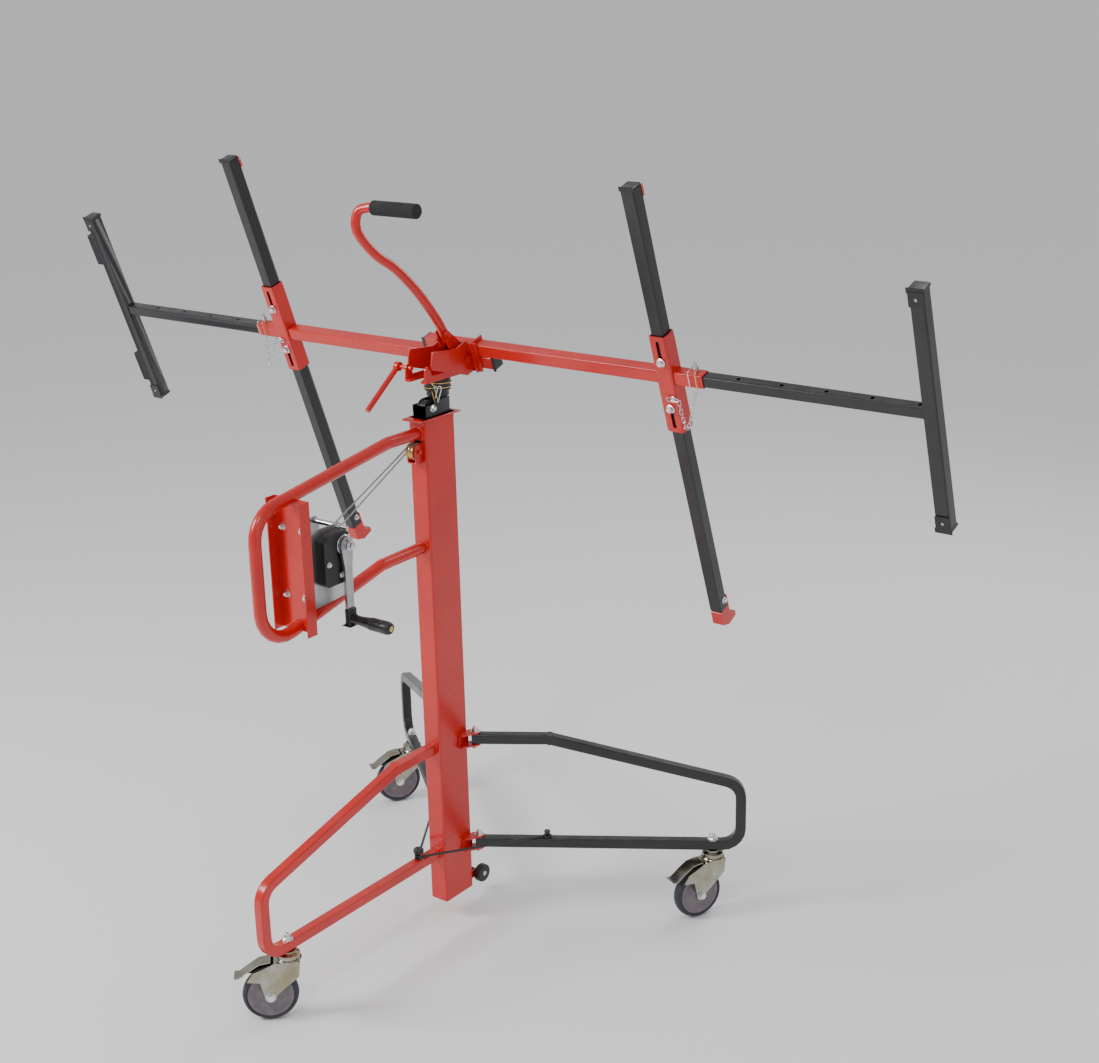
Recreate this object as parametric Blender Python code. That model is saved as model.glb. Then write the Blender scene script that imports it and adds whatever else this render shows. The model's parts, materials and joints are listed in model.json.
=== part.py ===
"""Drywall lift: a wheeled telescoping mast with a hand winch and a tilting head.

Frame while modelling: mast axis on X = Y = 0, floor at Z = 0, +X along the head's beams, +Y from the
operator towards the board, +Z up. The last step moves the whole lift so that the middle of its
footprint is the origin. Units are metres.
"""
import bpy
import bmesh
from math import atan2, cos, pi, radians, sin, sqrt, tan
from mathutils import Matrix, Vector

GAP = 0.0003                      # clearance between faces that touch on the real lift

# column and its welded flange
COLUMN_X, COLUMN_Y, COLUMN_WALL = 0.050, 0.100, 0.003
COLUMN_FOOT, COLUMN_TOP = 0.050, 1.260
FLANGE_X, FLANGE_Y, FLANGE_THICK = COLUMN_X + 0.008, COLUMN_Y + 0.036, 0.006

# casters
WHEEL_R, TYRE_WIDTH, TRAIL = 0.0625, 0.030, 0.045
RIM_R = WHEEL_R - 0.0105
FORK_PLATE = 0.0025
FORK_HALF = TYRE_WIDTH / 2 + FORK_PLATE + 0.004
FORK_TOP = 2 * WHEEL_R + 0.0155
FORK_HEAD_R = 0.0255
AXLE_R = 0.005
CASTER_TURN = {"front": radians(225), "right": radians(246), "left": radians(238)}

# base legs, square tube
LEG_TUBE, LEG_WALL = 0.025, 0.002
LEG_LOW_Z = FORK_TOP + 0.0395     # centre of the lower bar, above the caster's head
LEG_HIGH_Z = LEG_LOW_Z + 0.275
LEG_OUTER_Z = LEG_LOW_Z + 0.160
LEG_REACH = 0.635                 # hinge to the outer upright
LEG_FLAT = 0.178                  # level stretch of the upper bar
LEG_BEND = 0.045
LEG_ANGLE = {"right": radians(33), "left": radians(39)}      # measured back from the X axis
FIXED_REACH = 0.622               # mast axis to the fixed leg's outer upright
HINGE_X, HINGE_Y = COLUMN_X / 2 + LEG_TUBE / 2 + 0.0085, COLUMN_Y / 2 + 0.005
HINGE_BOLT_R, EAR_R, EAR_THICK = 0.005, 0.013, 0.0045
CASTER_INSET = LEG_BEND + 0.022   # caster stem, in from the outer upright

# stays and their pin
STAY_R, STAY_EYE_R, STAY_EYE_THICK = 0.003, 0.0105, 0.004
STAY_ON_LEG = 0.167
STAY_PIN_Y, STAY_PIN_R = -(COLUMN_Y / 2 + 0.066), 0.0035
STAY_LIFT = {"right": 0.0012, "left": 0.0074}

# foot rollers
ROLLER_R, ROLLER_WIDTH = 0.0225, 0.018
ROLLER_X, ROLLER_Y = 0.020 + ROLLER_WIDTH / 2, COLUMN_Y / 2 + ROLLER_R + 0.0075
ROLLER_Z = COLUMN_FOOT + 0.0255

# winch frame, round tube
FRAME_TUBE_R, FRAME_WALL = 0.014, 0.002
FRAME_TOP_Z = COLUMN_TOP - 0.034
FRAME_HEIGHT, FRAME_REACH = 0.268, 0.560
FRAME_LOW_Z = FRAME_TOP_Z - FRAME_HEIGHT
FRAME_TOP_DROP, FRAME_LOW_DROP = 0.061, 0.088

# winch, and the channel that holds it
WINCH_HALF, WINCH_PLATE = 0.034, 0.003
WINCH_HEIGHT, WINCH_DEPTH = 0.183, 0.108
WINCH_HIGH = FRAME_TOP_Z - 0.108
WINCH_LOW = WINCH_HIGH - WINCH_HEIGHT
CHANNEL_WIDTH, CHANNEL_FLANGE, CHANNEL_THICK = 2 * (WINCH_HALF + WINCH_PLATE) + 0.026, 0.025, 0.003
CHANNEL_Y = -(FRAME_REACH - 0.1115)
CHANNEL_LOW, CHANNEL_HIGH = WINCH_LOW - 0.050, WINCH_HIGH + 0.060
CRANK_Y, CRANK_Z = CHANNEL_Y + 0.0805, WINCH_HIGH - 0.052
GEAR_MODULE, DRUM_TEETH, PINION_TEETH = 0.002, 40, 10
GEAR_ANGLE = radians(-108)        # from the pinion to the drum
SHAFT_R = 0.006
DRUM_CORE_R = 0.024
DRUM_FLANGE_R = GEAR_MODULE * (DRUM_TEETH + PINION_TEETH) / 2 - SHAFT_R - 0.007
DRUM_NEAR, DRUM_FAR = WINCH_HALF - 0.018, WINCH_HALF - 0.005   # ends of the drum's core, right and left
COVER_DEPTH = 0.024
CRANK_LENGTH, CRANK_THICK = 0.165, 0.008
CRANK_X = WINCH_HALF + WINCH_PLATE + GAP + COVER_DEPTH + CRANK_THICK / 2 + 0.0047
GRIP_LENGTH, GRIP_R, GRIP_PIN_R = 0.105, 0.0145, 0.004

# rope pulley in the column's face, and cable
CABLE_R, CABLE_SPREAD, CABLE_CLEAR = 0.0018, 0.005, 0.0012
PULLEY_R, PULLEY_GROOVE_R, PULLEY_WIDTH, PULLEY_BOLT_R = 0.0205, 0.0165, 0.019, 0.004
PULLEY_Z = FRAME_TOP_Z - FRAME_TUBE_R - PULLEY_R - 0.0045

# telescoping mast
MIDDLE_WALL, INNER_WALL = 0.0025, 0.0025
MIDDLE_X = COLUMN_X - 2 * COLUMN_WALL - 0.004
MIDDLE_FRONT = -(COLUMN_Y / 2 - COLUMN_WALL - 0.007)
MIDDLE_BACK = COLUMN_Y / 2 - COLUMN_WALL - 0.003
MIDDLE_FOOT, MIDDLE_TOP = COLUMN_FOOT + 0.010, COLUMN_TOP + 0.035
INNER_X, INNER_Y = MIDDLE_X - 2 * MIDDLE_WALL - 0.005, 0.032
INNER_BACK = MIDDLE_BACK - MIDDLE_WALL - 0.0005
INNER_FRONT = INNER_BACK - INNER_Y
INNER_FOOT, INNER_TOP = MIDDLE_FOOT + 0.010, MIDDLE_TOP + 0.0045
TOP_PULLEY_R, TOP_PULLEY_WIDTH = 0.0185, MIDDLE_X - 2 * MIDDLE_WALL - 0.013
TOP_PULLEY_Y, TOP_PULLEY_Z = INNER_FRONT - TOP_PULLEY_R - 0.008, MIDDLE_TOP - 0.016
SOCKET_HEIGHT, SPIGOT_R = 0.0405, 0.0142
SOCKET_R = SPIGOT_R + 0.0158

# head
TILT = radians(70.9)              # board plane above horizontal at rest
TILT_BOLT_R, YOKE_EAR_R = 0.005, 0.0105
YOKE_HALF, YOKE_PLATE, YOKE_BASE = 0.030, 0.004, 0.006
PIVOT_Y = (INNER_FRONT + INNER_BACK) / 2 + 0.063
PIVOT_Z = INNER_TOP + GAP + SOCKET_HEIGHT + GAP + YOKE_BASE + YOKE_EAR_R + 0.0149
QUADRANT_R, QUADRANT_PLATE, QUADRANT_CLEAR = 0.120, 0.004, 0.0015
LEVER_ROD_R, LEVER_LENGTH, LEVER_DROP = 0.005, 0.133, radians(37)
BEAM, BEAM_WALL, SADDLE_THICK = 0.030, 0.002, 0.004
BEAM_RISE = YOKE_EAR_R + 0.0009 + SADDLE_THICK + GAP + BEAM / 2    # pivot to the beams' centre plane
BEAM_OUTER, BEAM_INNER, CLAMP_X = 0.655, 0.095, 0.050
ARM, ARM_WALL, ARM_UP, ARM_DOWN = 0.030, 0.002, 0.440, 0.600
ARM_INNER = BEAM + 0.010
SLOT_TRAVEL, SLOT_R, ARM_BOLT_R = 0.045, 0.0045, 0.004
SLOT_AT = ARM_INNER + 0.016
SLEEVE_WALL = 0.003
SLEEVE = ARM + 2 * SLEEVE_WALL + 0.004
SLEEVE_HALF, SLEEVE_X = SLOT_AT + SLOT_TRAVEL + 0.014, BEAM_OUTER - 0.089
EXT, EXT_WALL = BEAM - 2 * BEAM_WALL - 0.001, 0.002
EXT_TRAVEL_IN = 0.400             # how far the extension slides in before it fills the beam
EXT_INSIDE = BEAM_OUTER + BEAM_INNER - EXT_TRAVEL_IN
TBAR_X, TBAR_HALF = BEAM_OUTER + 0.506, 0.262
PIN_X, PIN_R = BEAM_OUTER - 0.020, 0.004
EXT_HOLE_R, EXT_PITCH = PIN_R + 0.0005, 0.100
STOP_OUT, STOP_LIP, STOP_THICK, STOP_WIDTH = 0.060, 0.020, 0.003, 0.082
STOP_PLACES = (-0.157, 0.198)     # along the T-bar, from its beam
BOARD_THICK, PAD_HEIGHT, PAD_LENGTH, HOOK_OVERLAP = 0.0125, 0.006, 0.024, 0.028
PIVOT_TO_BOARD = BEAM_RISE + ARM / 2 + PAD_HEIGHT  # board plane above the tilt pivot
HANDLE_R, HANDLE_WALL, LUG_R = 0.011, 0.002, 0.004
HANDLE_PASSAGE = HANDLE_R + 0.005 # half the slot in the yoke that the handle swings through
FOAM_CLEAR, FOAM_WALL, FOAM_LENGTH = 0.0014, 0.0036, 0.125
FOAM_R = HANDLE_R + FOAM_CLEAR + FOAM_WALL

FINISHES = {                      # colour, metallic, roughness
    "red": ((0.80, 0.028, 0.012), 0.0, 0.34),
    "black": ((0.012, 0.013, 0.017), 0.0, 0.42),
    "zinc": ((0.56, 0.57, 0.56), 1.0, 0.34),
    "steel": ((0.62, 0.62, 0.63), 1.0, 0.28),
    "brass": ((0.72, 0.52, 0.20), 1.0, 0.32),
    "tyre": ((0.075, 0.083, 0.105), 0.0, 0.62),
    "rim": ((0.24, 0.20, 0.21), 0.0, 0.45),
    "plastic": ((0.018, 0.018, 0.020), 0.0, 0.38),
    "foam": ((0.020, 0.020, 0.022), 0.0, 0.88),
}


# ---------------------------------------------------------------- shared tools
def clear_scene():
    for obj in list(bpy.data.objects):
        bpy.data.objects.remove(obj, do_unlink=True)


def empty(name, parent=None, place=(0, 0, 0), turn=None):
    obj = bpy.data.objects.new(name, None)
    bpy.context.collection.objects.link(obj)
    obj.parent = parent
    obj.location = place
    if turn is not None:
        obj.rotation_euler = turn
    return obj


def solid(name, bm):
    """A mesh object from a bmesh, with its faces pointing out."""
    bmesh.ops.recalc_face_normals(bm, faces=bm.faces)
    mesh = bpy.data.meshes.new(name)
    bm.to_mesh(mesh)
    bm.free()
    obj = bpy.data.objects.new(name, mesh)
    bpy.context.collection.objects.link(obj)
    return obj


def combine(target, tools, operation):
    """Applies an exact Boolean with each tool to the target, and removes the tools."""
    for tool in tools:
        tool.hide_render = True
        tool.display_type = "WIRE"
        cut = target.modifiers.new("cut", "BOOLEAN")
        cut.operation = operation
        cut.solver = "EXACT"
        cut.object = tool
    graph = bpy.context.evaluated_depsgraph_get()
    mesh = bpy.data.meshes.new_from_object(target.evaluated_get(graph))
    target.modifiers.clear()
    target.data = mesh
    for tool in tools:
        bpy.data.objects.remove(tool, do_unlink=True)
    return target


def cut(target, *tools):
    return combine(target, tools, "DIFFERENCE")


def weld(target, *tools):
    return combine(target, tools, "UNION")


def place(obj, name, parent, finish, origin=(0, 0, 0)):
    """Names a finished piece, parents it, and puts its own origin at the given point."""
    obj.name = name
    obj.data.name = name
    obj.data.transform(Matrix.Translation(-Vector(origin)))
    obj.parent = parent
    obj.location = origin
    colour, metallic, roughness = FINISHES[finish]
    material = bpy.data.materials.new(name + "_" + finish)
    material.use_nodes = True
    shader = material.node_tree.nodes["Principled BSDF"]
    shader.inputs["Base Color"].default_value = (*colour, 1.0)
    shader.inputs["Metallic"].default_value = metallic
    shader.inputs["Roughness"].default_value = roughness
    obj.data.materials.clear()
    obj.data.materials.append(material)
    obj.data.shade_smooth()
    obj.data.set_sharp_from_angle(angle=radians(35))
    return obj


def prism(outline, low, high, plane="XY"):
    """Extrudes a 2D outline. plane names the outline's two axes; low and high are along the third."""
    def point(a, b, c):
        return {"XY": (a, b, c), "XZ": (a, c, b), "YZ": (c, a, b)}[plane]
    bm = bmesh.new()
    bottom = [bm.verts.new(point(a, b, low)) for a, b in outline]
    top = [bm.verts.new(point(a, b, high)) for a, b in outline]
    bm.faces.new(bottom)
    bm.faces.new(top)
    count = len(outline)
    for i in range(count):
        j = (i + 1) % count
        bm.faces.new((bottom[i], bottom[j], top[j], top[i]))
    return solid("prism", bm)


def box(low, high):
    return prism([(low[0], low[1]), (high[0], low[1]), (high[0], high[1]), (low[0], high[1])],
                 low[2], high[2])


def block(centre, size):
    low = [c - s / 2 for c, s in zip(centre, size)]
    high = [c + s / 2 for c, s in zip(centre, size)]
    return box(low, high)


def arc(centre, radius, start, end, steps):
    return [(centre[0] + radius * cos(start + (end - start) * i / steps),
             centre[1] + radius * sin(start + (end - start) * i / steps)) for i in range(steps + 1)]


def axis_matrix(centre, axis):
    turn = {"X": Matrix.Rotation(pi / 2, 4, "Y"), "Y": Matrix.Rotation(-pi / 2, 4, "X"),
            "Z": Matrix.Identity(4)}[axis]
    return Matrix.Translation(centre) @ turn


def turned(profile, centre, axis="Z", segments=24):
    """Revolves (radius, height) points about an axis; a closed outline, or one ending on the axis."""
    bm = bmesh.new()
    rings = []
    for radius, height in profile:
        if radius < 1e-9:
            rings.append([bm.verts.new((0, 0, height))])
        else:
            rings.append([bm.verts.new((radius * cos(2 * pi * k / segments),
                                        radius * sin(2 * pi * k / segments), height))
                          for k in range(segments)])
    closed = profile[0][0] > 1e-9 and profile[-1][0] > 1e-9
    pairs = list(zip(rings, rings[1:])) + ([(rings[-1], rings[0])] if closed else [])
    for first, second in pairs:
        for k in range(segments):
            n = (k + 1) % segments
            corners = [first[k % len(first)], first[n % len(first)],
                       second[n % len(second)], second[k % len(second)]]
            unique = list(dict.fromkeys(corners))
            if len(unique) > 2:
                bm.faces.new(unique)
    obj = solid("turned", bm)
    obj.data.transform(axis_matrix(centre, axis))
    return obj


def rod(centre, radius, length, axis="Z", segments=16):
    """A plain cylinder centred on a point."""
    half = length / 2
    return turned([(0, -half), (radius, -half), (radius, half), (0, half)], centre, axis, segments)


def ring(centre, inner, outer, length, axis="Z", segments=24):
    half = length / 2
    return turned([(inner, -half), (outer, -half), (outer, half), (inner, half)], centre, axis, segments)


def hex_rod(centre, across, length, axis="Z"):
    return rod(centre, across / sqrt(3), length, axis, 6)


def rounded_path(corners, bend, steps=6):
    """A polyline through the corners, each inner corner rounded by a circular bend."""
    points = [Vector(corners[0])]
    for before, corner, after in zip(corners, corners[1:], corners[2:]):
        corner = Vector(corner)
        into = (Vector(before) - corner).normalized()
        out = (Vector(after) - corner).normalized()
        half = into.angle(out) / 2
        run = bend / tan(half)
        centre = corner + (into + out).normalized() * (bend / sin(half))
        start = corner + into * run - centre
        end = corner + out * run - centre
        sweep_angle = start.angle(end)
        for i in range(steps + 1):
            t = i / steps
            mixed = (start * sin((1 - t) * sweep_angle) + end * sin(t * sweep_angle)) / sin(sweep_angle)
            points.append(centre + mixed)
    points.append(Vector(corners[-1]))
    return points


def smooth_path(points, steps=6):
    """Catmull-Rom curve through the points."""
    points = [Vector(p) for p in points]
    padded = [points[0] * 2 - points[1]] + points + [points[-1] * 2 - points[-2]]
    result = []
    for a, b, c, d in zip(padded, padded[1:], padded[2:], padded[3:]):
        for i in range(steps):
            t = i / steps
            result.append(0.5 * (2 * b + (c - a) * t + (2 * a - 5 * b + 4 * c - d) * t ** 2
                                 + (3 * b - a - 3 * c + d) * t ** 3))
    return result + [points[-1]]


def path_frames(points, side):
    """Unit axes across the path at every point, mitred at bends, carried along without twist."""
    frames = []
    across = Vector(side).normalized()
    for i, point in enumerate(points):
        into = (point - points[i - 1]).normalized() if i else None
        out = (points[i + 1] - point).normalized() if i + 1 < len(points) else None
        tangent = ((into or out) + (out or into)).normalized()
        stretch = 1 / max(0.5, tangent.dot(out or into))
        across = (across - tangent * across.dot(tangent)).normalized()
        up = tangent.cross(across)
        frames.append((point, across, up, stretch))
    return frames


def sweep(points, outline, hole=None, side=(1, 0, 0)):
    """Runs an outline of (across, up) points along a path, with an optional hole along it."""
    bm = bmesh.new()
    loops = []
    for shape in ([outline] if hole is None else [outline, hole]):
        rings = []
        for point, across, up, stretch in path_frames(points, side):
            rings.append([bm.verts.new(point + across * a + up * b * stretch) for a, b in shape])
        loops.append(rings)
        for first, second in zip(rings, rings[1:]):
            for k in range(len(shape)):
                n = (k + 1) % len(shape)
                bm.faces.new((first[k], first[n], second[n], second[k]))
    for end in (0, -1):
        if hole is None:
            bm.faces.new(loops[0][end])
        else:
            for k in range(len(outline)):
                n = (k + 1) % len(outline)
                bm.faces.new((loops[0][end][k], loops[0][end][n], loops[1][end][n], loops[1][end][k]))
    return solid("sweep", bm)


def square(size):
    h = size / 2
    return [(-h, -h), (h, -h), (h, h), (-h, h)]


def circle(radius, count):
    return [(radius * cos(2 * pi * k / count), radius * sin(2 * pi * k / count)) for k in range(count)]


def rect_tube(low, high, wall, along="Z"):
    """A rectangular tube, open at both ends along one axis."""
    outer = box(low, high)
    axis = "XYZ".index(along)
    inner_low = [l + (0 if i == axis else wall) for i, l in enumerate(low)]
    inner_high = [h - (0 if i == axis else wall) for i, h in enumerate(high)]
    inner_low[axis] -= 0.01
    inner_high[axis] += 0.01
    return cut(outer, box(inner_low, inner_high))


def slot_cutter(centre_x, low_y, high_y, low_z, high_z, radius):
    """A round-ended slot along Y."""
    outline = (arc((centre_x, high_y), radius, 0, pi, 6) + arc((centre_x, low_y), radius, pi, 2 * pi, 6))
    return prism(outline, low_z, high_z)


# ---------------------------------------------------------------- column and base
def leg_path(reach, start, along):
    """The C-shaped bar of a leg; along(s, z) gives the 3D point at distance s from the mast side."""
    corners = [along(start, LEG_HIGH_Z), along(LEG_FLAT, LEG_HIGH_Z), along(reach, LEG_OUTER_Z),
               along(reach, LEG_LOW_Z), along(start, LEG_LOW_Z)]
    return rounded_path(corners, LEG_BEND, 5)


def leg_tube(points, side):
    return sweep(points, square(LEG_TUBE), square(LEG_TUBE - 2 * LEG_WALL), side)


def make_column(root):
    half_x, half_y = COLUMN_X / 2, COLUMN_Y / 2
    column = box((-half_x, -half_y, COLUMN_FOOT), (half_x, half_y, COLUMN_TOP))
    flange = block((0, 0, COLUMN_TOP - FLANGE_THICK / 2), (FLANGE_X, FLANGE_Y, FLANGE_THICK))
    weld(column, flange)
    wall = COLUMN_WALL
    cavity = box((-half_x + wall, -half_y + wall, COLUMN_FOOT + wall),
                 (half_x - wall, half_y - wall, COLUMN_TOP + 0.01))
    window = block((0, -half_y, PULLEY_Z), (PULLEY_WIDTH + 0.004, 0.02, 2 * PULLEY_R + 0.004))
    cut(column, cavity, window)
    place(column, "column", root, "red")

    def along(s, z):
        return (0, -s, z)
    start = half_y + GAP
    points = leg_path(FIXED_REACH, start, lambda s, z: along(s if s > start else start, z))
    place(leg_tube(points, (1, 0, 0)), "fixed_leg", root, "red")


def make_hinge_bracket(root, hand, z, name):
    """Two ears and a web beside the column, with the leg's hinge bolt through them."""
    side = 1 if hand == "right" else -1
    face = COLUMN_X / 2 + GAP
    centre = (HINGE_X, HINGE_Y)
    outline = [(face, COLUMN_Y / 2 - 0.034), (face + 0.012, COLUMN_Y / 2 - 0.034)]
    outline += arc(centre, EAR_R, radians(-35), radians(130), 6)
    outline += [(face, COLUMN_Y / 2 + 0.004)]
    outline = [(side * x, y) for x, y in outline]
    inner = LEG_TUBE / 2 + 0.0005
    lower = prism(outline, z - inner - EAR_THICK, z - inner)
    upper = prism(outline, z + inner, z + inner + EAR_THICK)
    web_x = sorted((side * face, side * (face + 0.0032)))
    web = box((web_x[0], COLUMN_Y / 2 - 0.034, z - inner - 0.001),
              (web_x[1], COLUMN_Y / 2, z + inner + 0.001))
    bolt = rod((side * HINGE_X, HINGE_Y, z), HINGE_BOLT_R, 2 * inner + 2 * EAR_THICK + 0.006, "Z", 12)
    head = hex_rod((side * HINGE_X, HINGE_Y, z + inner + EAR_THICK + 0.0025), 0.013, 0.006)
    nut = hex_rod((side * HINGE_X, HINGE_Y, z - inner - EAR_THICK - 0.0025), 0.013, 0.006)
    bracket = weld(upper, lower, web, bolt, head, nut)
    place(bracket, name, root, "red", (side * HINGE_X, HINGE_Y, z))


def make_folding_leg(root, hand):
    side = 1 if hand == "right" else -1
    turn = LEG_ANGLE[hand] if side > 0 else pi - LEG_ANGLE[hand]
    hinge = empty("leg_%s_hinge" % hand, root, (side * HINGE_X, HINGE_Y, 0), (0, 0, turn))
    start = -0.008
    points = leg_path(LEG_REACH, start, lambda s, z: (s, 0, z))
    leg = leg_tube(points, (0, 1, 0))
    holes = [rod((0, 0, z), HINGE_BOLT_R + 2 * GAP, LEG_TUBE + 0.01, "Z", 12)
             for z in (LEG_LOW_Z, LEG_HIGH_Z)]
    cut(leg, *holes)
    top = LEG_LOW_Z + LEG_TUBE / 2
    pin = rod((STAY_ON_LEG, 0, top + 0.0075), STAY_EYE_R * 0.42, 0.019)
    cap = rod((STAY_ON_LEG, 0, top + 0.0150), 0.0075, 0.004)
    weld(leg, pin, cap)
    place(leg, "leg_" + hand, hinge, "black")
    make_stay(hinge, hand, turn)
    make_caster(hinge, hand, (LEG_REACH - CASTER_INSET, 0, 0), CASTER_TURN[hand] - turn)


def make_stay(hinge, hand, turn):
    """A rod with a closed eye on the leg and an open hook round the pin on the fixed leg."""
    side = 1 if hand == "right" else -1
    foot = Vector((STAY_ON_LEG, 0))
    offset = Vector((-side * HINGE_X, STAY_PIN_Y - HINGE_Y))
    local = Vector((offset.x * cos(turn) + offset.y * sin(turn),
                    -offset.x * sin(turn) + offset.y * cos(turn)))
    length = (local - foot).length
    heading = atan2(local.y - foot.y, local.x - foot.x)
    level = LEG_LOW_Z + LEG_TUBE / 2 + STAY_LIFT[hand] + STAY_EYE_THICK / 2
    axis = empty("stay_%s_pivot" % hand, hinge, (foot.x, foot.y, level), (0, 0, heading))
    inner_leg = STAY_EYE_R * 0.42 + 2 * GAP
    eye = ring((0, 0, 0), inner_leg, STAY_EYE_R, STAY_EYE_THICK)
    inner_pin = STAY_PIN_R + 2 * GAP
    mouth = -side * radians(104)      # the side on which the pin leaves the hook
    opening = radians(66)
    hook_arc = arc((length, 0), STAY_EYE_R, mouth + opening, mouth + 2 * pi - opening, 14)
    hook_inner = arc((length, 0), inner_pin, mouth + 2 * pi - opening, mouth + opening, 14)
    hook = prism(hook_arc + hook_inner, -STAY_EYE_THICK / 2, STAY_EYE_THICK / 2)
    lift = 0.0008
    shank = rod((length / 2, 0, lift), STAY_R, length - 2 * STAY_EYE_R + 0.006, "X", 10)
    place(weld(eye, hook, shank), "stay_" + hand, axis, "black")


def make_stay_pin(root):
    top = LEG_LOW_Z + LEG_TUBE / 2
    profile = [(0, GAP), (STAY_PIN_R + 0.003, GAP), (STAY_PIN_R + 0.003, 0.0009), (STAY_PIN_R, 0.0009),
               (STAY_PIN_R, 0.0150), (0.0110, 0.0150), (0.0125, 0.0175), (0.0125, 0.0245),
               (0.0100, 0.0275), (0, 0.0275)]
    pin = turned(profile, (0, STAY_PIN_Y, top), "Z", 14)
    place(pin, "stay_pin", root, "plastic", (0, STAY_PIN_Y, top))


def make_caster(parent, name, stem, turn):
    """Swivel fork, wheel and brake pedal; +X of the caster's own frame is the way it trails."""
    swivel = empty("caster_%s_swivel" % name, parent, stem, (0, 0, turn))
    axle = (TRAIL, 0, WHEEL_R)
    bar = LEG_LOW_Z - LEG_TUBE / 2
    cheek = [(-0.024, FORK_TOP + 0.004), (0.034, FORK_TOP + 0.004), (TRAIL + 0.037, FORK_TOP - 0.0165),
             (TRAIL + 0.049, FORK_TOP - 0.0365), (TRAIL + 0.021, FORK_TOP - 0.0405)]
    cheek += arc((TRAIL, WHEEL_R), 0.013, radians(10), radians(-190), 8)
    cheek += [(-0.020, FORK_TOP - 0.0325)]
    plates = []
    for sign in (-1, 1):
        low, high = sorted((sign * FORK_HALF, sign * (FORK_HALF - FORK_PLATE)))
        plates.append(prism(cheek, low, high, "XZ"))
    crown = box((-0.024, -FORK_HALF, FORK_TOP), (0.034, FORK_HALF, FORK_TOP + 0.004))
    neck = FORK_HEAD_R * 2 / 3
    head = turned([(0, FORK_TOP + 0.002), (FORK_HEAD_R - 0.002, FORK_TOP + 0.002),
                   (FORK_HEAD_R, FORK_TOP + 0.007), (FORK_HEAD_R, bar - 0.008), (neck, bar - 0.004),
                   (neck, bar - GAP), (0, bar - GAP)], (0, 0, 0), "Z", 18)
    bolt = rod(axle, AXLE_R, 2 * FORK_HALF + 0.004, "Y", 14)
    nuts = [hex_rod((TRAIL, sign * (FORK_HALF + 0.002), WHEEL_R), 0.013, 0.005, "Y") for sign in (-1, 1)]
    fork = weld(crown, *plates, head, bolt, *nuts)
    place(fork, "caster_%s_fork" % name, swivel, "zinc")

    wheel = empty("caster_%s_axle" % name, swivel, axle)
    half = TYRE_WIDTH / 2
    bore = AXLE_R + GAP
    tyre = turned([(RIM_R + GAP, -half), (WHEEL_R - 0.006, -half), (WHEEL_R - 0.0015, -half * 0.62),
                   (WHEEL_R, 0), (WHEEL_R - 0.0015, half * 0.62), (WHEEL_R - 0.006, half),
                   (RIM_R + GAP, half)], (0, 0, 0), "Y", 24)
    place(tyre, "caster_%s_tyre" % name, wheel, "tyre")
    hub = FORK_HALF - FORK_PLATE - 0.0006
    rim = turned([(bore, -hub), (0.013, -hub), (0.016, -half * 0.5), (RIM_R - 0.010, -half * 0.55),
                  (RIM_R - 0.004, -half * 0.9), (RIM_R, -half * 0.9), (RIM_R, half * 0.9),
                  (RIM_R - 0.004, half * 0.9), (RIM_R - 0.010, half * 0.55), (0.016, half * 0.5),
                  (0.013, hub), (bore, hub)], (0, 0, 0), "Y", 24)
    place(rim, "caster_%s_rim" % name, wheel, "rim")

    hinge = empty("caster_%s_brake" % name, swivel, (0.040, 0, FORK_TOP + 0.0075))
    run = [(0.0, 0.0), (0.026, -0.0035), (0.052, -0.0200), (0.070, -0.0330), (0.082, -0.0330)]
    thick = 0.0025
    under = [(x, z - thick) for x, z in reversed(run)]
    pedal = prism(run + under, -0.0175, 0.0175, "XZ")
    place(pedal, "caster_%s_pedal" % name, hinge, "zinc")


def make_base_details(root):
    back = COLUMN_Y / 2 + GAP
    bracket = box((-0.017, back, ROLLER_Z - 0.016), (0.017, back + 0.003, ROLLER_Z + 0.016))
    arms = [box((sign * 0.0155 - 0.0015, back, ROLLER_Z - 0.010),
                (sign * 0.0155 + 0.0015, ROLLER_Y + 0.009, ROLLER_Z + 0.010)) for sign in (-1, 1)]
    hole = rod((0, ROLLER_Y, ROLLER_Z), 0.0050 + GAP, 0.1, "X")
    place(cut(weld(bracket, *arms), hole), "roller_bracket", root, "red")
    centre = (0, ROLLER_Y, ROLLER_Z)
    inner = ROLLER_X - ROLLER_WIDTH / 2
    outer = ROLLER_X + ROLLER_WIDTH / 2
    half = [(0.0050, 0), (0.0050, inner), (ROLLER_R - 0.003, inner), (ROLLER_R, inner + 0.003),
            (ROLLER_R, outer - 0.003), (ROLLER_R - 0.003, outer), (0, outer)]
    profile = [(r, -h) for r, h in reversed(half)] + half[1:]
    rollers = turned(profile, centre, "X", 16)
    place(rollers, "foot_rollers", root, "plastic", centre)


# ---------------------------------------------------------------- winch
def winch_frame_path():
    start = -(COLUMN_Y / 2 + GAP)
    corners = [(0, start, FRAME_TOP_Z), (0, start - 0.0997, FRAME_TOP_Z),
               (0, -FRAME_REACH, FRAME_TOP_Z - FRAME_TOP_DROP),
               (0, -FRAME_REACH, FRAME_LOW_Z - FRAME_LOW_DROP),
               (0, start - 0.1397, FRAME_LOW_Z - 0.003),
               (0, start, FRAME_LOW_Z)]
    first = rounded_path(corners[:3], 0.060, 3)[:-1]
    middle = rounded_path(corners[1:5], 0.068, 6)[1:-1]
    last = rounded_path(corners[3:], 0.060, 3)[1:]
    return first + middle + last


def drum_centre():
    reach = GEAR_MODULE * (DRUM_TEETH + PINION_TEETH) / 2 + 0.0004
    return CRANK_Y + reach * cos(GEAR_ANGLE), CRANK_Z + reach * sin(GEAR_ANGLE)


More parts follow.
